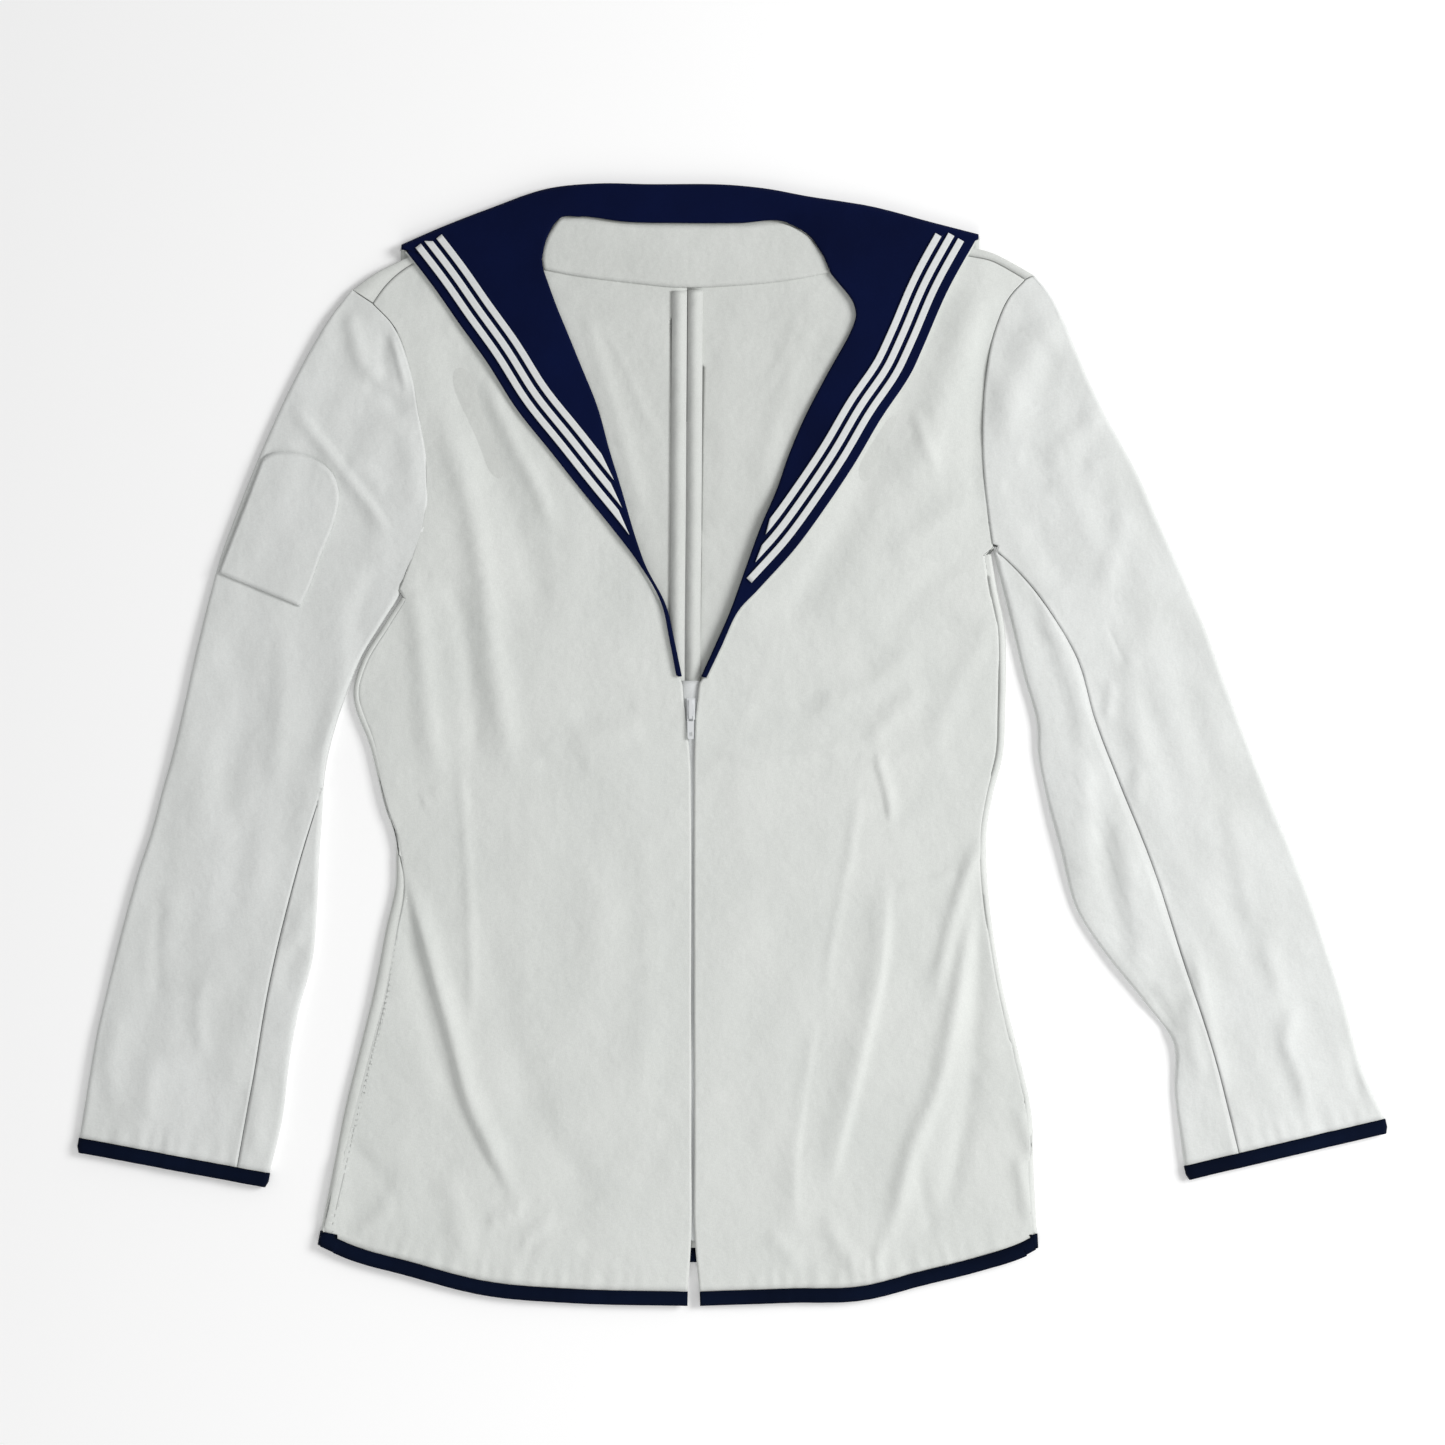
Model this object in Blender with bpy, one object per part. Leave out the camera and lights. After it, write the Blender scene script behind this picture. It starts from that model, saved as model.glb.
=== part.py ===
# Sailor jumper laid flat and face up on a surface: white cotton drill, a navy
# collar with three white tapes, a front zip, two-piece sleeves, navy edge binding
# and a white sleeve badge.
#
# X runs to the right of the garment as it is seen from above, Y towards its collar
# and Z up out of the surface that it lies on. Tables and names are in millimetres.
# Each piece of cloth is described by its middle surface, which is laid out here as
# grids of points, welded where they meet, and given the thickness of a wall.

import math

import bmesh
import bpy
import numpy as np
from mathutils import Matrix

MM = 0.001

# Cloth, seams and layers.
CLOTH = 1.0                  # wall of one layer of cloth
BINDING = 1.8                # doubled tape folded round a raw edge
BADGE_CLOTH = 1.4            # twill and backing, stitched together
SEAM_GAP = 0.5               # space between two pieces that are sewn edge to edge
LAYER_STEP = CLOTH + 0.3     # from one layer's middle to the next one's

# Heights of the middle surfaces above what the garment lies on.
FLAP_Z = CLOTH / 2
FLAP_LINING_Z = FLAP_Z + LAYER_STEP
BACK_Z = CLOTH / 2
BACK_OVER_FLAP_Z = FLAP_LINING_Z + LAYER_STEP
TOP_Z = 4.9                  # fronts and the upper layer of the sleeves
COLLAR_Z = TOP_Z + 2 * LAYER_STEP
NECK_SEAM_Z = 4.6            # the collar where it joins the back neck

# Collar.
FLAP_LOW_Y = 220.0           # lower edge of the flap that hangs down the back
FLAP_REST = 30.0             # the back still lies on the flap this far past its edge
FLAP_RAMP = 40.0             # and comes down to the surface over this length
ROLL_RADIUS = 1.2            # where the lapel turns down to the neck seam
ROLL_DROP = 1.0
LINING_OVERHANG = 1.0        # the white lining shows this much past the navy
TAPE_WIDTH = 4.6
TAPE_PITCH = 7.5
TAPE_MARGIN = 6.4

# Edge binding, badge, zip and folds.
BINDING_WIDTH = 10.0
ALLOWANCE_WIDTH = 10.5       # each pressed-open seam allowance inside the back
ZIP_TAPE_WIDTH = 24.0
ZIP_TOP_Y = 43.0
ZIP_LOW_Y = -337.0
BINDING_MIDDLE = 0.6         # where the binding's middle line of points lies across it
CUFF_ROUNDING = 1.5          # how far the cuff's corners are drawn in
BACK_SEAM_SHARE = 0.3        # hidden sleeve seam, as a share of the width from the fold
HALF_WALL = CLOTH / 2        # a middle surface lies this far inside an outline
FOLD_MARGIN = 1.5            # cloth beside a fold, up to the next line of points
SEAM_TURN = 10.0             # degrees from a seam at a fold to the cloth on either side
FOLD_BESIDE = 3.0            # a fold takes its heights this far from its edge
STRIP_WIDTH = 5.0            # cloth beside the side seam, up to the next line of points
FOREARM_LINES = 2.0          # between the lines of points along the forearm seam
UNDERARM_SEAM = 3.2          # how far from the underarm the forearm seam begins
LAPEL_CLEAR = 1.7            # from the lapel's roll to the front under it, at the zip
LAPEL_CLEAR_STEP = 0.8       # and how much that grows at each row towards the shoulder
LINING_CLEAR = 0.3           # the lining ends this far from the collar's roll
LINING_CLEAR_ROLL = 0.6      # and this much farther where the collar turns down
TAPE_END = 0.5               # the tapes stop this far from the upper fold
TAPE_ROLL = 1.0              # and from the roll of the lapel
BADGE_CLEAR = 0.4            # air under the badge

# Upper edge of the collar, where it folds over to the back.
#        x     y
FOLD = [(-225, 339), (-200, 350), (-164, 364), (-126, 377), (-91, 380.5), (-60, 380), (4, 379),
        (22, 377), (49, 372), (93, 365), (135, 354), (166, 346)]

# Lapels from the corner at the shoulder down to the zip: roll edge, then outer edge.
#               x     y       x     y
LAPEL_LEFT = [(-129, 322, -225, 338), (-120, 297, -202, 308), (-113, 280, -186, 285),
              (-104, 258, -168, 260), (-92, 228, -147, 227), (-84, 199, -123, 197),
              (-76, 173, -104, 173), (-67, 142, -82, 146), (-60, 122, -66, 125),
              (-45, 92, -48.3, 93.5), (-40, 70, -43.6, 71.5), (-35, 46, -38.8, 46.5)]
LAPEL_RIGHT = [(66, 319, 166, 345), (82, 297, 144, 305), (80, 281, 128, 268), (63, 250, 119, 249),
               (47, 219, 99, 219), (37, 195, 82, 190), (29, 172, 62, 160), (19, 149, 43, 134),
               (8, 119, 17, 105), (-2, 91, 2.5, 89), (-12, 68, -8, 66.5), (-22, 46, -18.3, 45)]

# Neck edge of the collar between the lapels. Turn is 1 where it rolls down and 0 at
# the back neck seam; the last column is where that section crosses the upper fold.
#        x      y     turn  fold x
NECK = [(-130, 329, 1.0, -134), (-127, 342, 1.0, -126), (-117, 357, 0.6, -112), (-103, 357.5, 0.0, -98),
        (-75, 354, 0.0, -74), (-34, 353, 0.0, -38), (4, 353, 0.0, 0), (36, 353.5, 0.0, 34),
        (51, 345, 0.6, 52), (61, 331, 1.0, 70)]
NECK_FOLD_LEFT = -142        # fold x of the section that runs into the left lapel
NECK_FOLD_RIGHT = 86

# White band inside the back neck, its lower edge.
FACING_LOW = [(-129, 322), (-108, 318), (-69, 313), (-38, 310), (-1, 311), (46, 316), (66, 320)]

# Side folds of the body from hem to underarm, and how far in from the fold the
# side seam shows on the upper layer.
#             x     y    seam
SIDE_LEFT = [(-280, -330, 6), (-272, -290, 7), (-264, -249, 8), (-254, -208, 8), (-244, -167, 8),
             (-236, -126, 7), (-229, -92, 5), (-229, -79, 2.8), (-229, -65, 0), (-236, -45, 0), (-246, -4, 0),
             (-258, 37, 0), (-252, 57, 0), (-238, 80, 0), (-225, 100, 0)]
SIDE_RIGHT = [(206, -332, 0), (204, -296, 0), (202, -249, 0), (193, -208, 0), (183, -167, 0),
              (176, -126, 0), (172, -86, 0), (172, -58, 0), (176, -35, 0), (183, -7, 0),
              (184.5, 23, 0), (185, 56, 0), (184, 80, 0), (179, 105, 0), (175, 129, 0)]

# Armhole seams from the shoulder to the underarm.
ARM_LEFT = [(-245, 299), (-231, 284), (-219, 253), (-213, 222), (-208, 190), (-208, 157),
            (-214, 132), (-225, 104)]
ARM_RIGHT = [(198, 315), (187, 303), (178, 283), (172, 257), (169, 226), (169, 194),
             (172, 160), (176, 133)]

# Shoulder fold and, inside it on the upper layer, the shoulder seam; from the
# sleeve to the neck, where both lie under the collar.
#                 fold x  y     seam x  y
SHOULDER_LEFT = [(-259, 308, -245, 299), (-242, 320, -236, 311), (-226, 328, -223, 322.5),
                 (-200, 339, -198, 333), (-164, 354, -163, 348), (-138, 363, -138, 357)]
SHOULDER_RIGHT = [(204, 318, 198, 315), (190, 326, 187, 321.5), (176, 333, 174, 328),
                  (162, 337, 160, 331), (120, 347, 119, 341), (80, 356, 80, 350)]

# Hems from the front edges to the side folds, and the higher hem of the back.
HEM_LEFT = [(-31, -371), (-113, -369), (-168, -364), (-222, -350), (-258, -340), (-280, -330)]
HEM_RIGHT = [(-23, -371), (36, -369), (89, -367), (124, -358), (164, -348), (197, -337), (206, -332)]
BACK_HEM_LEFT = [(-29, -342), (-120, -341), (-200, -338), (-280, -330)]
BACK_HEM_RIGHT = [(-29, -342), (60, -341), (130, -339), (206, -332)]
CENTRE_BACK = [(-29, -342), (-31, -150), (-33, 44), (-32, 180), (-31, 349.5)]

# Front edges, from the hem to the foot of the lapels.
#              y     left   right
FRONT_EDGE = [(-371, -30.2, -23.5), (-337, -28.8, -26.2), (-276, -28.6, -26.6), (-174, -28.8, -26.8),
              (-38, -29.0, -26.8), (-9, -29.6, -26.7), (5, -31.0, -26.2), (17, -32.4, -25.7),
              (31, -34.0, -24.2), (43, -35.4, -22.2)]

# Sleeves from shoulder to cuff: outer edge, then inner edge below the underarm.
OUT_LEFT = [(-259, 308), (-272, 292), (-287, 268), (-301, 242), (-314, 214), (-326, 186),
            (-337, 158), (-348, 128)]
SLEEVE_LEFT = [(-355, 103, -238, 83), (-362, 75, -252, 60), (-367, 54, -259.5, 42), (-372, 31, -269, 15),
               (-382, -11, -278, -26), (-388, -32, -279.3, -48), (-394, -55, -281, -72),
               (-406, -92, -283, -112), (-416, -129, -286, -147), (-425, -165, -295, -180),
               (-433, -200, -302, -218), (-438, -230, -306, -252), (-444, -267, -315, -291)]
OUT_RIGHT = [(204, 318), (214, 306), (223, 290), (232, 269), (241, 248), (252, 225),
             (264, 203), (276, 180)]
SLEEVE_RIGHT = [(287, 155, 182.5, 107), (297, 133, 189, 81), (310, 103, 197, 47), (323, 72, 206, 15),
                (334, 41, 207, -7), (348, 3, 213, -38), (363, -35, 222, -72), (379, -73, 233, -112),
                (393, -109, 253, -143), (405, -145, 279, -175), (414, -174, 298, -201),
                (425, -215, 300, -239), (442, -254, 306, -286)]

# Forearm seams where they show on the upper layer, from the elbow or underarm down.
SEAM_LEFT = [(-278.5, -29), (-295, -82), (-315, -164), (-326, -228), (-339, -300)]
SEAM_RIGHT = [(176, 133), (187, 123), (202, 107), (217, 86), (233, 58), (245, 17), (262, -27),
              (283, -79), (306, -150), (325, -208), (346, -290)]

# Badge: a straight foot and sides under a round head, on the left sleeve's fold.
BADGE_OUTLINE = [(-349, 116), (-294, 93.5), (-288, 106), (-280, 128), (-270, 154), (-267.5, 168),
                 (-271, 182), (-280, 191), (-291, 196), (-304, 198), (-314, 197), (-319, 193.5)]

# Largest folds of the upper layer: rise above it, half-width and path.
FRONT_FOLDS = [
    (3.0, 11, [(-203, 223), (-180, 169), (-168, 90), (-156, 10)]),
    (-0.8, 9, [(-190, 150), (-188, 60), (-172, -11)]),
    (3.5, 13, [(-223, -75), (-205, -160), (-178, -245), (-145, -322)]),
    (2.5, 14, [(-150, -190), (-118, -270), (-90, -330)]),
    (2.5, 10, [(99, -5), (105, -54), (104, -110), (96, -180)]),
    (2.2, 7, [(112, -99), (153, -86)]),
    (3.2, 11, [(160, -80), (137, -170), (108, -260), (82, -330)]),
    (2.6, 12, [(196, -200), (168, -270), (150, -330)]),
    (1.6, 6, [(-145, -10), (-90, -8), (-45, -6)]),
    (1.6, 6, [(-10, -3), (40, -12), (90, -5)]),
    (2.4, 12, [(150, 200), (160, 120), (150, 40)]),
]
LEFT_SLEEVE_FOLDS = [
    (2.4, 12, [(-248, 250), (-246, 200), (-240, 150)]),
    (2.6, 12, [(-292, 60), (-322, -30), (-345, -120)]),
    (2.2, 12, [(-385, -60), (-400, -150), (-412, -220)]),
    (2.0, 8, [(-275, -60), (-288, -150), (-305, -240)]),
]
RIGHT_SLEEVE_FOLDS = [
    (3.2, 9, [(217, 8), (237, -18), (243, -50), (250, -97), (272, -125), (284, -175)]),
    (-1.9, 7, [(211, -5), (222, -45), (232, -88), (250, -128), (277, -163)]),
    (3.0, 14, [(225, 230), (262, 140), (300, 40)]),
    (2.4, 13, [(330, -20), (352, -110), (372, -190)]),
    (2.0, 10, [(296, -90), (312, -170), (322, -230)]),
]


# Curves in plan

def smooth_curve(points, per_span=10):
    """A smooth run of points through the given ones."""
    p = np.array(points, float)
    s = np.concatenate([[0], np.cumsum(np.linalg.norm(np.diff(p, axis=0), axis=1))])
    slope = np.gradient(p, s, axis=0)
    run = []
    for k in range(len(p) - 1):
        span = s[k + 1] - s[k]
        for t in np.arange(per_span) / per_span:
            run.append((2 * t**3 - 3 * t**2 + 1) * p[k] + (t**3 - 2 * t**2 + t) * span * slope[k]
                       + (3 * t**2 - 2 * t**3) * p[k + 1] + (t**3 - t**2) * span * slope[k + 1])
    return np.array(run + [p[-1]])


def lengths(points):
    """Distance along a run of points, from 0 to 1."""
    s = np.concatenate([[0], np.cumsum(np.linalg.norm(np.diff(points, axis=0), axis=1))])
    return s / s[-1]


def spaced(points, count):
    """The given number of points, evenly spaced along a smooth curve."""
    fine = smooth_curve(points)
    s = lengths(fine)
    return np.stack([np.interp(np.linspace(0, 1, count), s, fine[:, k]) for k in range(2)], axis=1)


def left_of(points):
    """Unit vectors that point to the left of a run of points."""
    along = np.gradient(np.array(points, float), axis=0)
    along /= np.maximum(np.linalg.norm(along, axis=1, keepdims=True), 1e-9)
    return np.stack([-along[:, 1], along[:, 0]], axis=1)


def shifted(points, distance):
    """The run of points, moved to its left."""
    return np.array(points, float) + left_of(points) * distance


def crossing(start, end, line):
    """Where the line from start to end crosses a run of points, as a share of its length."""
    along = end - start
    away = np.array([-along[1], along[0]])
    side = (line - start) @ away
    for k in range(len(line) - 1):
        if side[k] * side[k + 1] <= 0 and side[k] != side[k + 1]:
            meet = line[k] + (line[k + 1] - line[k]) * side[k] / (side[k] - side[k + 1])
            share = (meet - start) @ along / (along @ along)
            if 0 <= share <= 1:
                return share
    return 1.0


def spaced_like(points, pattern):
    """Points along a curve, spaced in the same shares as another run of points."""
    fine = smooth_curve(points)
    return np.stack([np.interp(lengths(pattern), lengths(fine), fine[:, k]) for k in range(2)], axis=1)


def fill(low, high, inner, outer):
    """A grid of plan points between four edges that share their corners."""
    u = (0.5 * (lengths(low) + lengths(high)))[None, :, None]
    v = (0.5 * (lengths(inner) + lengths(outer)))[:, None, None]
    low, high = low[None], high[None]
    inner, outer = inner[:, None], outer[:, None]
    corners = ((1 - u) * (1 - v) * low[:, :1] + u * (1 - v) * low[:, -1:]
               + (1 - u) * v * high[:, :1] + u * v * high[:, -1:])
    return (1 - v) * low + v * high + (1 - u) * inner + u * outer - corners


# Heights

def smooth_step(t):
    t = np.clip(t, 0, 1)
    return t * t * (3 - 2 * t)


def relief(xy, folds):
    """Height that soft folds add at plan points."""
    total = np.zeros(xy.shape[:-1])
    for rise, half_width, path in folds:
        nearest = np.full(total.shape, np.inf)
        for start, end in zip(np.array(path[:-1], float), np.array(path[1:], float)):
            along = end - start
            share = np.clip((xy - start) @ along / (along @ along), 0, 1)
            foot = start + share[..., None] * along
            nearest = np.minimum(nearest, np.linalg.norm(xy - foot, axis=-1))
        total += rise * np.exp(-(nearest / half_width)**2)
    return total


def back_height(xy):
    """The lower layer: on the surface, or on the collar's flap."""
    flap_left, flap_right = FOLD[0][0], FOLD[-1][0]
    beyond_x = np.maximum(np.maximum(flap_left - xy[..., 0], xy[..., 0] - flap_right), 0)
    beyond_y = np.maximum(FLAP_LOW_Y - xy[..., 1], 0)
    beyond = np.hypot(beyond_x, beyond_y)
    return BACK_OVER_FLAP_Z + (BACK_Z - BACK_OVER_FLAP_Z) * smooth_step((beyond - FLAP_REST) / FLAP_RAMP)


def front_height(xy):
    return TOP_Z + relief(xy, FRONT_FOLDS)


def left_sleeve_height(xy):
    return TOP_Z + relief(xy, LEFT_SLEEVE_FOLDS)


def right_sleeve_height(xy):
    return TOP_Z + relief(xy, RIGHT_SLEEVE_FOLDS)


def raised(xy, height):
    """Plan points with their height added."""
    return np.concatenate([xy, np.broadcast_to(height, xy.shape[:-1])[..., None]], axis=-1)


# Cloth walls

class Sheet:
    """The middle surface of one piece of cloth, welded from grids of points."""

    def __init__(self):
        self.points = []
        self.faces = []
        self.known = {}

    def corner(self, point):
        key = tuple(round(float(c), 3) for c in point)
        if key not in self.known:
            self.known[key] = len(self.points)
            self.points.append([float(c) for c in point])
        return self.known[key]

    def add(self, grid):
        for lower, upper in zip(grid[:-1], grid[1:]):
            for k in range(len(lower) - 1):
                quad = [self.corner(p) for p in (lower[k], lower[k + 1], upper[k + 1], upper[k])]
                face = [c for i, c in enumerate(quad) if c not in quad[:i]]
                if len(face) > 2:
                    self.faces.append(face)


def cloth_wall(name, sheet, thickness, material, lift=0.0):
    """A closed wall of even thickness round a middle surface that is moved out by lift."""
    middle = bmesh.new()
    corners = [middle.verts.new(p) for p in sheet.points]
    for face in sheet.faces:
        middle.faces.new([corners[i] for i in face])
    bmesh.ops.recalc_face_normals(middle, faces=middle.faces)
    highest = max(middle.faces, key=lambda f: f.calc_center_median().z)
    if highest.normal.z < 0:
        bmesh.ops.reverse_faces(middle, faces=middle.faces)
    middle.normal_update()
    middle.verts.index_update()
    shell = bmesh.new()
    skins = []
    for reach in (lift + thickness / 2, lift - thickness / 2):
        skins.append([shell.verts.new((v.co + v.normal * v.calc_shell_factor() * reach) * MM)
                      for v in middle.verts])
    for face in middle.faces:
        ring = [v.index for v in face.verts]
        shell.faces.new([skins[0][i] for i in ring])
        shell.faces.new([skins[1][i] for i in reversed(ring)])
    for edge in middle.edges:
        if edge.is_boundary:
            loop = edge.link_loops[0]
            a, b = loop.vert.index, loop.link_loop_next.vert.index
            shell.faces.new([skins[0][b], skins[0][a], skins[1][a], skins[1][b]])
    middle.free()
    return finished(name, shell, material)


def finished(name, mesh_in_metres, material):
    """An object made from a closed bmesh."""
    bmesh.ops.triangulate(mesh_in_metres, faces=mesh_in_metres.faces)
    bmesh.ops.recalc_face_normals(mesh_in_metres, faces=mesh_in_metres.faces)
    mesh = bpy.data.meshes.new(name)
    mesh_in_metres.to_mesh(mesh)
    mesh_in_metres.free()
    mesh.materials.append(material)
    piece = bpy.data.objects.new(name, mesh)
    bpy.context.scene.collection.objects.link(piece)
    return piece


def principled(name, colour, roughness, metallic=0.0):
    material = bpy.data.materials.new(name)
    material.use_nodes = True
    shader = material.node_tree.nodes["Principled BSDF"]
    shader.inputs["Base Color"].default_value = (*colour, 1.0)
    shader.inputs["Roughness"].default_value = roughness
    shader.inputs["Metallic"].default_value = metallic
    return material


# Folds at the edge of a flattened tube

def fold_radius(low_z, high_z):
    return (high_z - low_z) / 2


def seam_angle(inset, radius):
    """Where a seam lies on the upper side of a fold, in degrees, clear of its top."""
    return min(math.degrees(math.acos(np.clip(1 - inset / radius, 0, 1))), 90 - 2 * SEAM_TURN)


def round_fold(edge, inward, low_z, high_z, angles):
    """Points round a fold; -90 degrees is the lower layer and 90 the upper one."""
    radius = fold_radius(low_z, high_z)
    points = []
    for angle in np.radians(angles):
        inset = radius * (1 - math.cos(angle))
        height = low_z + radius * (1 + math.sin(angle))
        points.append([*(edge + inward * inset), height])
    return points


# Body: two fronts and two backs

FRONT_COLUMNS = 13
SIDE_STEPS = 2               # rows for each row of the side fold's table
NECK_COLUMNS = 4


class Half:
    """One half of the body; sense is -1 for the left half and 1 for the right half."""

    def __init__(self, sense, side, arm, shoulder, front_hem, back_hem, neck_edge):
        self.sense = sense
        side = smooth_curve(side, SIDE_STEPS)
        self.seam_inset = side[:, 2]
        self.fold = shifted(side[:, :2], sense * HALF_WALL)
        self.inward = left_of(side[:, :2]) * sense
        self.arm = shifted(arm, -sense * SEAM_GAP / 2)[::-1]
        shoulder = np.array(shoulder, float)
        along = shoulder[1, :2] - shoulder[0, :2]
        shoulder[0] += np.tile(along / np.linalg.norm(along), 2) * SEAM_GAP
        fold = spaced(shoulder[:, :2], FRONT_COLUMNS)
        self.shoulder_seam = spaced(shoulder[:, 2:], FRONT_COLUMNS)
        self.shoulder_inward = left_of(fold) * sense
        beside_sleeve = self.shoulder_seam[0] - fold[0]
        self.shoulder_inward[0] = beside_sleeve / np.linalg.norm(beside_sleeve)
        self.shoulder_fold = fold + self.shoulder_inward * HALF_WALL
        self.front_hem = np.array(front_hem, float)
        self.back_hem = np.array(back_hem, float)
        self.neck_edge = np.array(neck_edge, float)

    def at_fold(self, row):
        """Height of the lower and the upper layer beside the side fold."""
        beside = self.fold[row] + self.inward[row] * FOLD_BESIDE
        return float(back_height(beside)), float(front_height(beside))

    def front(self):
        """The upper layer, with its share of the side fold."""
        strip = []
        for row, (edge, inward) in enumerate(zip(self.fold, self.inward)):
            low_z, high_z = self.at_fold(row)
            radius = fold_radius(low_z, high_z)
            seam = self.seam_inset[row]
            if seam > radius + SEAM_GAP:
                starts = [edge + inward * (seam + SEAM_GAP / 2 + k) for k in (0, 1, 2)]
                rolled = [[*p, float(front_height(p))] for p in starts]
            else:
                turned = np.linspace(seam_angle(seam, radius) + SEAM_TURN, 90, 3)
                rolled = round_fold(edge, inward, low_z, high_z, turned)
            end = edge + inward * max(seam + STRIP_WIDTH, radius + FOLD_MARGIN)
            strip.append(rolled + [[*end, float(front_height(end))]])
        strip = np.array(strip)
        high = self.shoulder_seam[::-1] + self.shoulder_inward[::-1] * SEAM_GAP / 2
        outer = np.concatenate([strip[:, -1, :2], self.arm[:-1], high[-1:]])
        low = np.concatenate([spaced(self.front_hem, FRONT_COLUMNS)[:-1], outer[:1]])
        inner = spaced_like(np.concatenate([low[:1], self.neck_edge, high[:1]]), outer)
        grid = fill(low, high, inner, outer)
        grid = raised(grid, front_height(grid))
        self.front_hem_row = np.concatenate([grid[0, :-1], strip[0, ::-1]])
        sheet = Sheet()
        sheet.add(strip)
        sheet.add(grid)
        return sheet

    def side_strip(self):
        """The back's share of the side fold, from the lower layer to the side seam."""
        strip = []
        for row, (edge, inward) in enumerate(zip(self.fold, self.inward)):
            low_z, high_z = self.at_fold(row)
            radius = fold_radius(low_z, high_z)
            seam = self.seam_inset[row]
            start = edge + inward * (radius + FOLD_MARGIN)
            rolled = [[*start, float(back_height(start))]]
            if seam > radius + SEAM_GAP:
                rolled += round_fold(edge, inward, low_z, high_z, (-90, -45, 0, 45, 90))
                end = edge + inward * (seam - SEAM_GAP / 2)
                rolled.append([*end, float(front_height(end))])
            else:
                turned = np.linspace(-90, seam_angle(seam, radius) - SEAM_TURN, 6)
                rolled += round_fold(edge, inward, low_z, high_z, turned)
            strip.append(rolled)
        return np.array(strip)

    def shoulder_strip(self):
        """The back's share over the shoulder, from the lower layer to the shoulder seam."""
        strip = []
        for edge, inward, seam in zip(self.shoulder_fold, self.shoulder_inward, self.shoulder_seam):
            beside = edge + inward * FOLD_BESIDE
            low_z, high_z = float(back_height(beside)), float(front_height(beside))
            start = edge + inward * (fold_radius(low_z, high_z) + FOLD_MARGIN)
            seam = seam - inward * SEAM_GAP / 2
            rolled = [[*start, float(back_height(start))]]
            rolled += round_fold(edge, inward, low_z, high_z, (-90, -30, 30, 90))
            strip.append(rolled + [[*seam, float(front_height(seam))]])
        return np.array(strip)

    def back(self):
        """The lower layer, which turns up at the side and over the shoulder."""
        side = self.side_strip()
        over = self.shoulder_strip()
        shoulder = over[::-1, 0, :2]
        outer = np.concatenate([side[:, 0, :2], self.arm, shoulder[-1:]])
        centre = np.array(CENTRE_BACK, float) + [self.sense * SEAM_GAP / 2, 0]
        allowance = [self.sense * (ALLOWANCE_WIDTH - SEAM_GAP / 2), 0]
        low = spaced(self.back_hem, NECK_COLUMNS + len(shoulder))
        low = np.concatenate([centre[:1], centre[:1] + allowance, low[2:-1], outer[:1]])
        neck = spaced([centre[-1] + allowance, self.neck_corner(), shoulder[0]], NECK_COLUMNS)
        high = np.concatenate([centre[-1:], neck, shoulder[1:]])
        inner = spaced_like(centre, outer)
        grid = fill(low, high, inner, outer)
        grid[:, 1] = grid[:, 0] + allowance
        grid = raised(grid, back_height(grid))
        self.back_hem_row = np.concatenate([grid[0, :-1], side[0]])
        self.centre_columns = grid[:, :2]
        sheet = Sheet()
        sheet.add(side)
        sheet.add(over)
        sheet.add(grid)
        return sheet

    def neck_corner(self):
        """Where the back neck seam passes under the roll of the collar."""
        station = NECK[3] if self.sense < 0 else NECK[-3]
        return np.array(station[:2], float) - [0, 4]


def front_edge_points(column, lapel, sense):
    """A front's free edge: up beside the zip, then just inside the roll of the lapel."""
    beside_zip = [(row[column], row[0]) for row in FRONT_EDGE[1:]]
    roll = np.array(lapel, float)[::-1, :2]
    clear = LAPEL_CLEAR + LAPEL_CLEAR_STEP * np.arange(len(roll))
    beside_roll = roll - left_of(roll) * sense * clear[:, None]
    return np.concatenate([beside_zip, beside_roll])


LEFT = Half(-1, SIDE_LEFT, ARM_LEFT, SHOULDER_LEFT, HEM_LEFT, BACK_HEM_LEFT,
            front_edge_points(1, LAPEL_LEFT, -1))
RIGHT = Half(1, SIDE_RIGHT, ARM_RIGHT, SHOULDER_RIGHT, HEM_RIGHT, BACK_HEM_RIGHT,
             front_edge_points(2, LAPEL_RIGHT, 1))


# Sleeves: each is a flattened tube of two pieces

TOP_COLUMNS = 8


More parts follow.
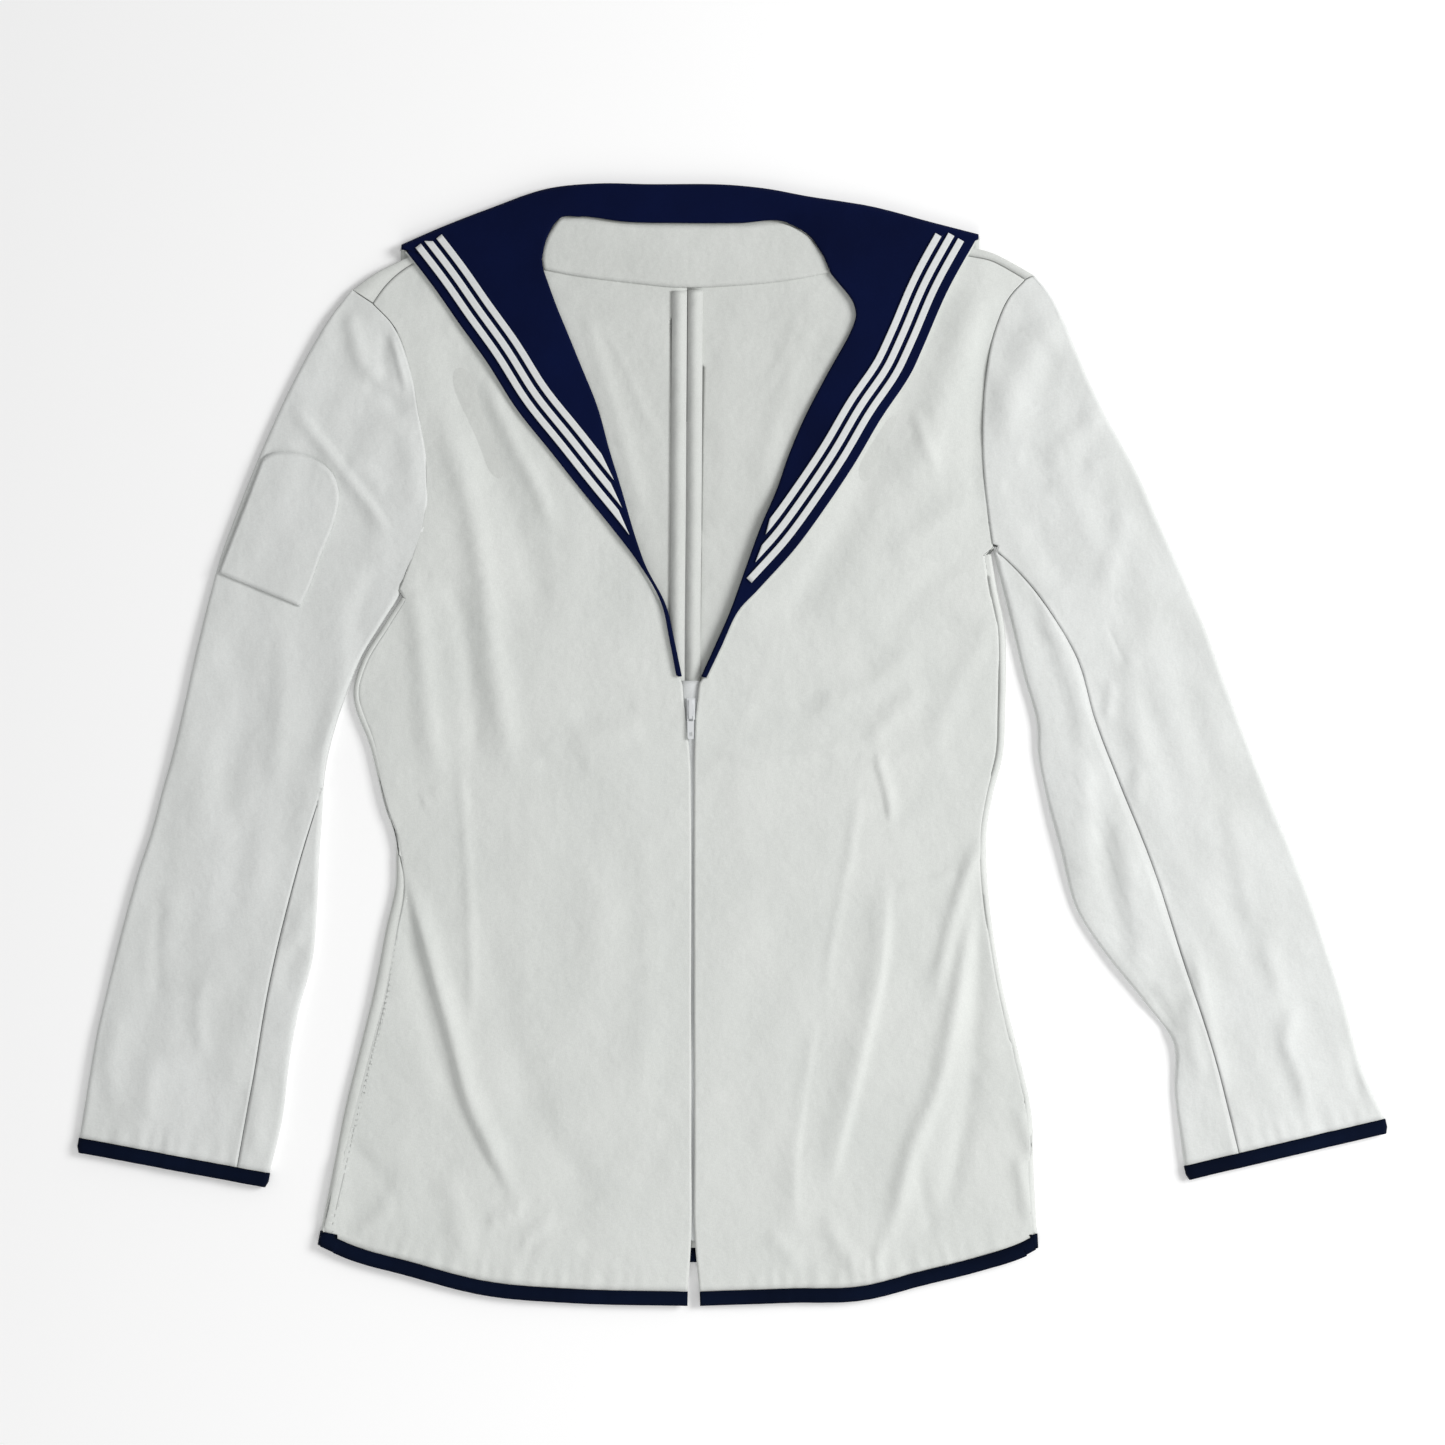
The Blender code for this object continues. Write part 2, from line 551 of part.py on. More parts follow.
class Sleeve:
    """One sleeve as sections from its outer fold to its inner edge."""

    def __init__(self, sense, out, arm, below, seam, height):
        below = np.array(below, float)
        self.sense = sense
        self.height = height
        self.open_rows = len(arm)
        outer = np.concatenate([np.array(out, float), below[:, :2]])
        inner = np.concatenate([shifted(arm, sense * SEAM_GAP / 2), below[:, 2:]])
        width = np.linalg.norm(inner - outer, axis=1, keepdims=True)
        self.across = (inner - outer) / width
        self.outer = outer + self.across * HALF_WALL
        inner[self.open_rows:] -= self.across[self.open_rows:] * HALF_WALL
        self.inner = inner
        self.width = np.linalg.norm(self.inner - self.outer, axis=1)
        self.seam = smooth_curve(seam)
        self.seam_from_underarm = np.linalg.norm(self.seam[0] - inner[self.open_rows - 1]) < 2

    def layer(self, row, distances, height):
        """Points of one layer at distances from the outer fold."""
        points = self.outer[row] + np.outer(distances, self.across[row])
        return [[*p, float(height(p))] for p in points]

    def outer_fold(self, row, angles):
        beside = self.outer[row] + self.across[row] * FOLD_BESIDE
        low_z, high_z = float(back_height(beside)), float(self.height(beside))
        return round_fold(self.outer[row], self.across[row], low_z, high_z, angles)

    def inner_fold(self, row, angles):
        beside = self.inner[row] - self.across[row] * FOLD_BESIDE
        low_z, high_z = float(back_height(beside)), float(self.height(beside))
        return round_fold(self.inner[row], -self.across[row], low_z, high_z, angles)

    def reach(self, points, row):
        """Distance of the last point from the outer fold."""
        return float((np.array(points[-1][:2]) - self.outer[row]) @ self.across[row])

    def back_seam(self, row):
        fold = self.reach(self.outer_fold(row, (-90,)), row)
        return max(self.width[row] * BACK_SEAM_SHARE, fold + FOLD_MARGIN)

    def forearm_seam(self, row):
        """Where the forearm seam shows on this section, or None where it lies at the fold."""
        if row < self.open_rows - 1:
            return self.width[row]
        if row == self.open_rows - 1:
            share = 1.0 - UNDERARM_SEAM / self.width[row] if self.seam_from_underarm else 1.0
        else:
            share = crossing(self.outer[row], self.inner[row], self.seam)
        return share * self.width[row] if share < 1.0 else None

    def top(self):
        rows = []
        for row in range(len(self.outer)):
            fold = self.outer_fold(row, (-90, -45, 0, 45, 90))
            start = self.reach(fold, row)
            line = self.layer(row, [self.back_seam(row) - SEAM_GAP / 2], back_height)
            seam = self.forearm_seam(row)
            if seam is None:
                turn = self.inner_fold(row, (90, 50, 14))
                stop = self.reach(turn[:1], row)
                upper = self.layer(row, np.linspace(start, stop, TOP_COLUMNS)[1:-1], self.height) + turn
            else:
                stop = seam if row < self.open_rows - 1 else seam - SEAM_GAP / 2
                flat = np.linspace(start, stop - 2 * FOREARM_LINES, TOP_COLUMNS)[1:]
                steps = [*flat, stop - FOREARM_LINES, stop]
                upper = self.layer(row, steps, self.height)
            rows.append(line + fold + upper)
        self.top_cuff = np.array(rows[-1])
        sheet = Sheet()
        sheet.add(np.array(rows))
        return sheet

    def under(self):
        lines, turns = [], []
        for row in range(len(self.outer)):
            seam = self.forearm_seam(row)
            start = self.back_seam(row) + SEAM_GAP / 2
            if row < self.open_rows - 1:
                lines.append(self.layer(row, np.linspace(start, self.width[row], 6), back_height))
                continue
            turned = (-90, -77, -64, -52, -40, -27, -14)
            turn = self.inner_fold(row, turned if seam is None else (-90, -45, 0, 45, 90))
            stop = self.reach(turn[:1], row)
            lines.append(self.layer(row, np.linspace(start, stop, 6)[:-1], back_height) + turn[:1])
            if seam is not None:
                turn += self.layer(row, np.linspace(stop, seam + SEAM_GAP / 2, 3)[1:], self.height)
            turns.append(turn)
        self.under_cuff = np.array(lines[-1] + turns[-1][1:])
        sheet = Sheet()
        sheet.add(np.array(lines))
        sheet.add(np.array(turns))
        return sheet

    def cuff(self):
        """The binding round the end of the sleeve."""
        ring = np.concatenate([self.top_cuff, self.under_cuff[::-1], self.top_cuff[:1]])
        across = self.across[-1]
        outward = np.array([-across[1], across[0]]) * self.sense
        centre = (self.outer[-1] + self.inner[-1]) / 2
        rows = []
        for distance in (SEAM_GAP, BINDING_MIDDLE * BINDING_WIDTH, BINDING_WIDTH):
            squeeze = CUFF_ROUNDING if distance == BINDING_WIDTH else 0.0
            row = binding_height(ring)
            share = (row[:, :2] - centre) @ across / (self.width[-1] / 2)
            row[:, :2] += outward * distance - np.outer(share * squeeze, across)
            rows.append(row)
        sheet = Sheet()
        sheet.add(np.array(rows))
        return sheet


def binding_height(points):
    """The same points, with the lower layer raised to the middle of the thicker binding."""
    row = np.array(points, float)
    share = (TOP_Z - BINDING / 2) / (TOP_Z - CLOTH / 2)
    row[:, 2] = BINDING / 2 + (row[:, 2] - CLOTH / 2) * share
    return row


# Collar

FOLD_RADIUS = fold_radius(FLAP_Z, COLLAR_Z)
FOLD_CURVE = smooth_curve(FOLD)
FOLD_CURVE = np.concatenate([[3 * FOLD_CURVE[0] - 2 * FOLD_CURVE[1]], FOLD_CURVE,
                             [3 * FOLD_CURVE[-1] - 2 * FOLD_CURVE[-2]]])
LAPEL_COLUMNS = 5
BAND_ROWS = 4
FLAP_ROWS = 4


def fold_y(x):
    """Height in plan of the collar's upper fold, at the middle of its wall."""
    return np.interp(x, FOLD_CURVE[:, 0], FOLD_CURVE[:, 1]) - HALF_WALL


def collar(lining):
    """Middle surface of the collar; the lining has no roll and shows past the navy edge."""
    left = np.array(LAPEL_LEFT, float)
    right = np.array(LAPEL_RIGHT, float)
    neck = np.array(NECK, float)
    overhang = LINING_OVERHANG if lining else 0.0
    inner_line = np.concatenate([left[::-1, :2], neck[:, :2], right[:, :2]])
    turn = np.concatenate([np.ones(len(left)), neck[:, 2], np.ones(len(right))])
    into = left_of(inner_line)
    inset = HALF_WALL + ROLL_RADIUS * turn
    if lining:
        inset += LINING_CLEAR + LINING_CLEAR_ROLL * turn
    edge = inner_line + into * inset[:, None]
    edge_left = edge[:len(left)][::-1]
    edge_neck = edge[len(left):-len(right)]
    edge_right = edge[-len(right):]
    sheet = Sheet()
    tops = []
    for table, start, sense in ((left, edge_left, -1), (right, edge_right, 1)):
        corner_x = table[0, 2] + sense * overhang
        outer = shifted(table[:, 2:], sense * overhang)
        outer[0] = [corner_x, fold_y(corner_x) - FOLD_RADIUS]
        shares = np.linspace(0, 1, LAPEL_COLUMNS)[None, :, None]
        grid = start[:, None] + (outer - start)[:, None] * shares
        sheet.add(raised(grid, COLLAR_Z))
        tops.append(grid[0])
    lower = np.concatenate([tops[0][::-1], edge_neck, tops[1]])
    seam_z = NECK_SEAM_Z + (COLLAR_Z - NECK_SEAM_Z) * neck[:, 2]
    lower_z = np.concatenate([np.full(LAPEL_COLUMNS, COLLAR_Z), seam_z, np.full(LAPEL_COLUMNS, COLLAR_Z)])
    fold_x = np.concatenate([np.linspace(tops[0][-1, 0], NECK_FOLD_LEFT, LAPEL_COLUMNS), neck[:, 3],
                             np.linspace(NECK_FOLD_RIGHT, tops[1][-1, 0], LAPEL_COLUMNS)])
    upper = np.stack([fold_x, fold_y(fold_x) - FOLD_RADIUS], axis=1)
    upper[0], upper[-1] = lower[0], lower[-1]
    rows = []
    for t in np.linspace(0, 1, BAND_ROWS):
        rows.append(raised(lower + (upper - lower) * t, lower_z + (COLLAR_Z - lower_z) * smooth_step(t)))
    down = np.array([0.0, -1.0])
    crests = np.stack([fold_x, upper[:, 1] + FOLD_RADIUS], axis=1)
    for angle in (54, 18, -18, -54, -90):
        rows.append(np.array([round_fold(crest, down, FLAP_Z, COLLAR_Z, (angle,))[0] for crest in crests]))
    for t in np.linspace(0, 1, FLAP_ROWS)[1:]:
        y = upper[:, 1] + (FLAP_LOW_Y - overhang - upper[:, 1]) * t
        rows.append(raised(np.stack([fold_x, y], axis=1), FLAP_Z))
    sheet.add(np.array(rows))
    if not lining:
        edge_z = np.concatenate([np.full(len(left), COLLAR_Z), seam_z, np.full(len(right), COLLAR_Z)])
        sheet.add(collar_roll(inner_line, into, turn, edge_z))
    return sheet


def collar_roll(line, into, turn, edge_z):
    """The strip that turns down from the collar's inner edge to the neck seam."""
    radius = ROLL_RADIUS * turn
    rows = []
    for angle, drop in ((0, 0), (45, 0), (90, 0), (90, ROLL_DROP)):
        sine, cosine = math.sin(math.radians(angle)), math.cos(math.radians(angle))
        inset = HALF_WALL + radius - radius * sine
        height = edge_z - radius * (1 - cosine) - drop * turn
        rows.append(raised(line + into * inset[:, None], height))
    return np.array(rows)


def tape(lapel, sense, number):
    """One of the three tapes, parallel to the lapel's outer edge until it meets the roll."""
    table = np.array(lapel, float)
    first = table[0, 2:] - table[1, 2:]
    outer = smooth_curve(np.concatenate([[table[0, 2:] + first], table[:9, 2:]]))
    roll = smooth_curve(table[:, :2])
    near = TAPE_MARGIN + TAPE_PITCH * number
    sides = []
    for distance in (near, near + TAPE_WIDTH):
        line = shifted(outer, -sense * distance)
        low_fold = fold_y(line[:, 0]) - FOLD_RADIUS - TAPE_END
        gap = np.array([(line[k, 0] - np.interp(line[k, 1], roll[::-1, 1], roll[::-1, 0])) * sense
                        for k in range(len(line))])
        kept = line[(line[:, 1] < low_fold) & (gap > HALF_WALL + ROLL_RADIUS + TAPE_ROLL)]
        sides.append(spaced_like(kept[::3], np.linspace([0, 0], [1, 0], 15)))
    grid = np.stack(sides, axis=1)
    sheet = Sheet()
    sheet.add(raised(grid, COLLAR_Z + LAYER_STEP))
    return sheet


# Back neck band, seam allowances, zip and badge

def neck_band():
    low = np.array(FACING_LOW, float)
    high = np.array([(-118, 356.5), (-103, 356.3), (-75, 352.8), (-34, 351.6), (4, 351.6), (36, 352.2),
                     (50.5, 344.5)])
    left = spaced([low[0], (-130.4, 329), (-127.4, 342), high[0]], 4)
    right = spaced([low[-1], (61.5, 331), high[-1]], 4)
    sheet = Sheet()
    sheet.add(raised(fill(low, high, left, right), BACK_OVER_FLAP_Z + LAYER_STEP))
    return sheet


def seam_allowance(half):
    """Pressed-open allowance beside the centre back seam, up to the neck band."""
    columns = half.centre_columns
    columns = columns[columns[:, 0, 1] < FACING_LOW[3][1] - 1]
    sheet = Sheet()
    sheet.add(columns + [0, 0, LAYER_STEP])
    return sheet


ZIP_TAPE_Z = BACK_Z + 2 * LAYER_STEP
SLIDER_LOW_Z = ZIP_TAPE_Z + CLOTH / 2 + 0.3
SLIDER_TOP_Z = SLIDER_LOW_Z + 2.5
PULL_Z = SLIDER_TOP_Z + 0.8
PULL_CLOTH = 1.0
SLIDER_X = -29.0
SLIDER_TOP_Y = 31.0
SLIDER_LOW_Y = 16.5
PULL_Y = 19.5
#              y from axis  half-width outside, inside
PULL_ROWS = [(0.5, 2.3, 1.5), (-0.5, 2.3, 1.5), (-4.0, 2.3, 1.5), (-11.6, 2.2, 1.0),
             (-14.2, 2.1, 1.0), (-16.0, 1.9, 1.0)]
PULL_HOLES = (1, 3)          # the spaces after these rows are open in the middle
SLIDER_HALF_WIDTH = 3.4
SLIDER_TOP_HALF_WIDTH = 2.6
CROWN_HALF_WIDTH = 1.1
CROWN_RISE = 0.8             # underside of the crown above the pull's axis
CROWN_WALL = 0.8
CROWN_LOW = 2.3              # reach of the crown below and above the pull's axis
CROWN_HIGH = 10.5
CROWN_FOOT = 3.0


def zip_tape():
    centre = [((left + right) / 2, y) for y, left, right in FRONT_EDGE if y >= ZIP_LOW_Y]
    line = spaced(centre, 14)
    line[-1, 1] = ZIP_TOP_Y
    half = ZIP_TAPE_WIDTH / 2
    grid = np.stack([line - [half, 0], line, line + [half, 0]], axis=1)
    sheet = Sheet()
    sheet.add(raised(grid, ZIP_TAPE_Z))
    return sheet


def block_solid(name, across, along, heights, blocks, material):
    """A closed solid made of the blocks of a grid; each block is named by its first lines."""
    mesh = bmesh.new()
    corners = {}

    def corner(i, j, k):
        if (i, j, k) not in corners:
            place = (across[k][i], along[j], heights[k])
            corners[i, j, k] = mesh.verts.new([c * MM for c in place])
        return corners[i, j, k]

    for i, j, k in blocks:
        sides = {(-1, 0, 0): ((0, 0, 0), (0, 0, 1), (0, 1, 1), (0, 1, 0)),
                 (1, 0, 0): ((1, 0, 0), (1, 1, 0), (1, 1, 1), (1, 0, 1)),
                 (0, -1, 0): ((0, 0, 0), (1, 0, 0), (1, 0, 1), (0, 0, 1)),
                 (0, 1, 0): ((0, 1, 0), (0, 1, 1), (1, 1, 1), (1, 1, 0)),
                 (0, 0, -1): ((0, 0, 0), (0, 1, 0), (1, 1, 0), (1, 0, 0)),
                 (0, 0, 1): ((0, 0, 1), (1, 0, 1), (1, 1, 1), (0, 1, 1))}
        for step, face in sides.items():
            if (i + step[0], j + step[1], k + step[2]) not in blocks:
                mesh.faces.new([corner(i + a, j + b, k + c) for a, b, c in face])
    return finished(name, mesh, material)


def zip_slider(material):
    """Slider body with the crown that the pull hangs from."""
    near, far = PULL_Y - CROWN_LOW, PULL_Y + CROWN_HIGH
    under = PULL_Z + CROWN_RISE
    across = [[SLIDER_X + x for x in (-side, -CROWN_HALF_WIDTH, CROWN_HALF_WIDTH, side)]
              for side in (SLIDER_HALF_WIDTH, SLIDER_TOP_HALF_WIDTH)]
    along = [SLIDER_LOW_Y, near, near + CROWN_WALL, far - CROWN_FOOT, far, SLIDER_TOP_Y]
    heights = [SLIDER_LOW_Z, SLIDER_TOP_Z, under, under + CROWN_WALL]
    blocks = {(i, j, 0) for i in range(3) for j in range(5)}
    blocks |= {(1, 1, 1), (1, 3, 1)}
    blocks |= {(1, j, 2) for j in (1, 2, 3)}
    return block_solid("zip_slider", across + across[1:] * 2, along, heights, blocks, material)


def zip_pull(material):
    """Flat tab with a slot round the crown and a square hole near its end."""
    rows = [np.array([[SLIDER_X + x, PULL_Y + y, PULL_Z] for x in (-outside, -inside, inside, outside)])
            for y, outside, inside in PULL_ROWS]
    sheet = Sheet()
    for k in range(len(rows) - 1):
        pair = np.array([rows[k], rows[k + 1]])
        if k in PULL_HOLES:
            sheet.add(pair[:, :2])
            sheet.add(pair[:, 2:])
        else:
            sheet.add(pair)
    return cloth_wall("zip_pull", sheet, PULL_CLOTH, material)


def badge():
    foot = np.array(BADGE_OUTLINE[:2], float)
    head = smooth_curve(BADGE_OUTLINE[1:], 2)
    outline = np.concatenate([foot[:1], (foot[:1] + foot[1:]) / 2, head, foot[:1]])
    centre = outline[:-1].mean(axis=0)
    rings = [centre + (outline - centre) * share for share in (0.0, 0.55, 1.0)]
    grid = np.array(rings)
    rise = (CLOTH + BADGE_CLOTH) / 2 + BADGE_CLEAR
    sheet = Sheet()
    sheet.add(raised(grid, left_sleeve_height(grid) + rise))
    return sheet


def hem_binding():
    """One strip from front edge to front edge, round both side folds and across the back."""
    rows = [LEFT.front_hem_row, LEFT.back_hem_row[::-1], RIGHT.back_hem_row, RIGHT.front_hem_row[::-1]]
    downs = []
    for row, half in zip(rows, (LEFT, LEFT, RIGHT, RIGHT)):
        side = left_of(row[:, :2])
        side *= np.where(side[:, 1:] < 0, 1.0, -1.0)
        at_fold = half.inward[0] * half.sense
        near_fold = np.linalg.norm(row[:, :2] - half.fold[0], axis=1) < 12
        side[near_fold] = [at_fold[1], -at_fold[0]] if at_fold[0] > 0 else [-at_fold[1], at_fold[0]]
        downs.append(side)
    line = binding_height(np.concatenate(rows))
    down = np.concatenate(downs)
    down = down / np.linalg.norm(down, axis=1, keepdims=True)
    grid = []
    for distance in (SEAM_GAP, BINDING_MIDDLE * BINDING_WIDTH, BINDING_WIDTH):
        row = line.copy()
        row[:, :2] += down * distance
        grid.append(row)
    sheet = Sheet()
    sheet.add(np.array(grid))
    return sheet


def centre_on_origin(pieces):
    """Move every piece so that the whole garment's box stands on the middle of the origin."""
    corners = np.array([v.co for piece in pieces for v in piece.data.vertices])
    low, high = corners.min(axis=0), corners.max(axis=0)
    shift = [-(low[0] + high[0]) / 2, -(low[1] + high[1]) / 2, -low[2]]
    for piece in pieces:
        piece.data.transform(Matrix.Translation(shift))


def build():
    for old in list(bpy.data.objects):
        bpy.data.objects.remove(old)
    drill = principled("white_drill", (0.76, 0.78, 0.76), 0.85)
    navy = principled("navy_cotton", (0.004, 0.010, 0.055), 0.8)
    tape_white = principled("white_tape", (0.72, 0.75, 0.72), 0.8)
    binding_navy = principled("navy_binding", (0.004, 0.012, 0.03), 0.85)
    metal = principled("zip_enamel", (0.62, 0.65, 0.66), 0.35, 0.6)
    pieces = []
    for side, half in (("left", LEFT), ("right", RIGHT)):
        pieces.append(cloth_wall("front_" + side, half.front(), CLOTH, drill))
        pieces.append(cloth_wall("back_" + side, half.back(), CLOTH, drill))
        pieces.append(cloth_wall("back_allowance_" + side, seam_allowance(half), CLOTH, drill))
    sleeves = (("left", Sleeve(-1, OUT_LEFT, ARM_LEFT, SLEEVE_LEFT, SEAM_LEFT, left_sleeve_height)),
               ("right", Sleeve(1, OUT_RIGHT, ARM_RIGHT, SLEEVE_RIGHT, SEAM_RIGHT, right_sleeve_height)))
    for side, sleeve in sleeves:
        pieces.append(cloth_wall("top_sleeve_" + side, sleeve.top(), CLOTH, drill))
        pieces.append(cloth_wall("under_sleeve_" + side, sleeve.under(), CLOTH, drill))
        pieces.append(cloth_wall("cuff_binding_" + side, sleeve.cuff(), BINDING, binding_navy))
    pieces.append(cloth_wall("hem_binding", hem_binding(), BINDING, binding_navy))
    pieces.append(cloth_wall("collar", collar(False), CLOTH, navy))
    pieces.append(cloth_wall("collar_lining", collar(True), CLOTH, drill, lift=-LAYER_STEP))
    for side, lapel, sense in (("left", LAPEL_LEFT, -1), ("right", LAPEL_RIGHT, 1)):
        for number in range(3):
            name = f"collar_tape_{side}_{number + 1}"
            pieces.append(cloth_wall(name, tape(lapel, sense, number), CLOTH, tape_white))
    pieces.append(cloth_wall("neck_band", neck_band(), CLOTH, drill))
    pieces.append(cloth_wall("zip_tape", zip_tape(), CLOTH, tape_white))
    pieces.append(cloth_wall("badge", badge(), BADGE_CLOTH, drill))
    pieces.append(zip_slider(metal))
    pieces.append(zip_pull(metal))
    centre_on_origin(pieces)


build()
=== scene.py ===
# Looks of the sailor jumper: dense cloth with its folds, seams and badge,
# laid over the imported model, on a pale floor under soft light.
#
# Tables are in millimetres in the garment's plan, as in the part's own source. Folds
# are read off the photograph in its pixels, which at() turns into those millimetres.

import math

import bmesh
import bpy
import numpy as np
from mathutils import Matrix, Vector


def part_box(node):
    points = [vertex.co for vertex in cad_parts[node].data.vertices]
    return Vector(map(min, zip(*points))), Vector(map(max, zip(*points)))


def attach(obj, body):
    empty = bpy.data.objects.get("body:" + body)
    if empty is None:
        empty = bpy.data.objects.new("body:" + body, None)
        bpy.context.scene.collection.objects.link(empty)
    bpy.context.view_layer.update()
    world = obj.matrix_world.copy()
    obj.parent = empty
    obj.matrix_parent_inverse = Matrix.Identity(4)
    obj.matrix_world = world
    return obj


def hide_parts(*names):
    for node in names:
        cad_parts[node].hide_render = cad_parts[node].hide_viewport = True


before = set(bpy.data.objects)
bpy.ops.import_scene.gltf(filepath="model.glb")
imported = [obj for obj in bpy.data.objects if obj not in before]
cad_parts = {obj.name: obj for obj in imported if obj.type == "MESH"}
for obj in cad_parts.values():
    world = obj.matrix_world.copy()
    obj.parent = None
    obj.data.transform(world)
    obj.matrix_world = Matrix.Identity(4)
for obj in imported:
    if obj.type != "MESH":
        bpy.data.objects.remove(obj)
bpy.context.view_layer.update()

PIXEL = 0.68                 # millimetres to a pixel of the photograph
CENTRE_PIXEL = (733.5, 744.0)


def at(*pixels):
    """Plan points from points of the photograph."""
    return [((px - CENTRE_PIXEL[0]) * PIXEL, (CENTRE_PIXEL[1] - py) * PIXEL) for px, py in pixels]


MM = 0.001

# Cloth, seams and layers.
CLOTH = 1.0                  # wall of one layer of cloth
BINDING = 1.8                # doubled tape folded round a raw edge
BADGE_CLOTH = 1.4            # twill and backing, stitched together
SEAM_GAP = 0.5               # space between two pieces that are sewn edge to edge
LAYER_STEP = CLOTH + 0.3     # from one layer's middle to the next one's

# Heights of the middle surfaces above what the garment lies on.
FLAP_Z = CLOTH / 2
FLAP_LINING_Z = FLAP_Z + LAYER_STEP
BACK_Z = CLOTH / 2
BACK_OVER_FLAP_Z = FLAP_LINING_Z + LAYER_STEP
TOP_Z = 4.9                  # fronts and the upper layer of the sleeves
COLLAR_Z = TOP_Z + 2 * LAYER_STEP
NECK_SEAM_Z = 4.6            # the collar where it joins the back neck

# Collar.
FLAP_LOW_Y = 220.0           # lower edge of the flap that hangs down the back
FLAP_REST = 30.0             # the back still lies on the flap this far past its edge
FLAP_RAMP = 40.0             # and comes down to the surface over this length
ROLL_RADIUS = 1.2            # where the lapel turns down to the neck seam
ROLL_DROP = 1.0
LINING_OVERHANG = 1.0        # the white lining shows this much past the navy
TAPE_WIDTH = 4.6
TAPE_PITCH = 7.5
TAPE_MARGIN = 6.4

# Edge binding, badge, zip and folds.
BINDING_WIDTH = 10.0
ALLOWANCE_WIDTH = 10.5       # each pressed-open seam allowance inside the back
ZIP_TAPE_WIDTH = 24.0
ZIP_TOP_Y = 43.0
ZIP_LOW_Y = -337.0
BINDING_MIDDLE = 0.6         # where the binding's middle line of points lies across it
CUFF_ROUNDING = 1.5          # how far the cuff's corners are drawn in
BACK_SEAM_SHARE = 0.3        # hidden sleeve seam, as a share of the width from the fold
HALF_WALL = CLOTH / 2        # a middle surface lies this far inside an outline
FOLD_MARGIN = 1.5            # cloth beside a fold, up to the next line of points
SEAM_TURN = 10.0             # degrees from a seam at a fold to the cloth on either side
FOLD_BESIDE = 3.0            # a fold takes its heights this far from its edge
STRIP_WIDTH = 5.0            # cloth beside the side seam, up to the next line of points
FOREARM_LINES = 2.0          # between the lines of points along the forearm seam
UNDERARM_SEAM = 3.2          # how far from the underarm the forearm seam begins
LAPEL_CLEAR = 1.7            # from the lapel's roll to the front under it, at the zip
LAPEL_CLEAR_STEP = 0.8       # and how much that grows at each row towards the shoulder
LINING_CLEAR = 0.3           # the lining ends this far from the collar's roll
LINING_CLEAR_ROLL = 0.6      # and this much farther where the collar turns down
TAPE_END = 0.5               # the tapes stop this far from the upper fold
TAPE_ROLL = 1.0              # and from the roll of the lapel
BADGE_CLEAR = 0.4            # air under the badge

# Upper edge of the collar, where it folds over to the back.
#        x     y
FOLD = [(-225, 339), (-200, 350), (-164, 364), (-126, 377), (-91, 380.5), (-60, 380), (4, 379),
        (22, 377), (49, 372), (93, 365), (135, 354), (166, 346)]

# Lapels from the corner at the shoulder down to the zip: roll edge, then outer edge.
#               x     y       x     y
LAPEL_LEFT = [(-129, 322, -225, 338), (-120, 297, -202, 308), (-113, 280, -186, 285),
              (-104, 258, -168, 260), (-92, 228, -147, 227), (-84, 199, -123, 197),
              (-76, 173, -104, 173), (-67, 142, -82, 146), (-60, 122, -66, 125),
              (-45, 92, -48.3, 93.5), (-40, 70, -43.6, 71.5), (-35, 46, -38.8, 46.5)]
LAPEL_RIGHT = [(66, 319, 166, 345), (82, 297, 144, 305), (80, 281, 128, 268), (63, 250, 119, 249),
               (47, 219, 99, 219), (37, 195, 82, 190), (29, 172, 62, 160), (19, 149, 43, 134),
               (8, 119, 17, 105), (-2, 91, 2.5, 89), (-12, 68, -8, 66.5), (-22, 46, -18.3, 45)]

# Neck edge of the collar between the lapels. Turn is 1 where it rolls down and 0 at
# the back neck seam; the last column is where that section crosses the upper fold.
#        x      y     turn  fold x
NECK = [(-130, 329, 1.0, -134), (-127, 342, 1.0, -126), (-117, 357, 0.6, -112), (-103, 357.5, 0.0, -98),
        (-75, 354, 0.0, -74), (-34, 353, 0.0, -38), (4, 353, 0.0, 0), (36, 353.5, 0.0, 34),
        (51, 345, 0.6, 52), (61, 331, 1.0, 70)]
NECK_FOLD_LEFT = -142        # fold x of the section that runs into the left lapel
NECK_FOLD_RIGHT = 86

# White band inside the back neck, its lower edge.
FACING_LOW = [(-129, 322), (-108, 318), (-69, 313), (-38, 310), (-1, 311), (46, 316), (66, 320)]

# Side folds of the body from hem to underarm, and how far in from the fold the
# side seam shows on the upper layer.
#             x     y    seam
SIDE_LEFT = [(-280, -330, 6), (-272, -290, 7), (-264, -249, 8), (-254, -208, 8), (-244, -167, 8),
             (-236, -126, 7), (-229, -92, 5), (-229, -79, 2.8), (-229, -65, 0), (-236, -45, 0), (-246, -4, 0),
             (-258, 37, 0), (-252, 57, 0), (-238, 80, 0), (-225, 100, 0)]
SIDE_RIGHT = [(206, -332, 0), (204, -296, 0), (202, -249, 0), (193, -208, 0), (183, -167, 0),
              (176, -126, 0), (172, -86, 0), (172, -58, 0), (176, -35, 0), (183, -7, 0),
              (184.5, 23, 0), (185, 56, 0), (184, 80, 0), (179, 105, 0), (175, 129, 0)]

# Armhole seams from the shoulder to the underarm.
ARM_LEFT = [(-245, 299), (-231, 284), (-219, 253), (-213, 222), (-208, 190), (-208, 157),
            (-214, 132), (-225, 104)]
ARM_RIGHT = [(198, 315), (187, 303), (178, 283), (172, 257), (169, 226), (169, 194),
             (172, 160), (176, 133)]

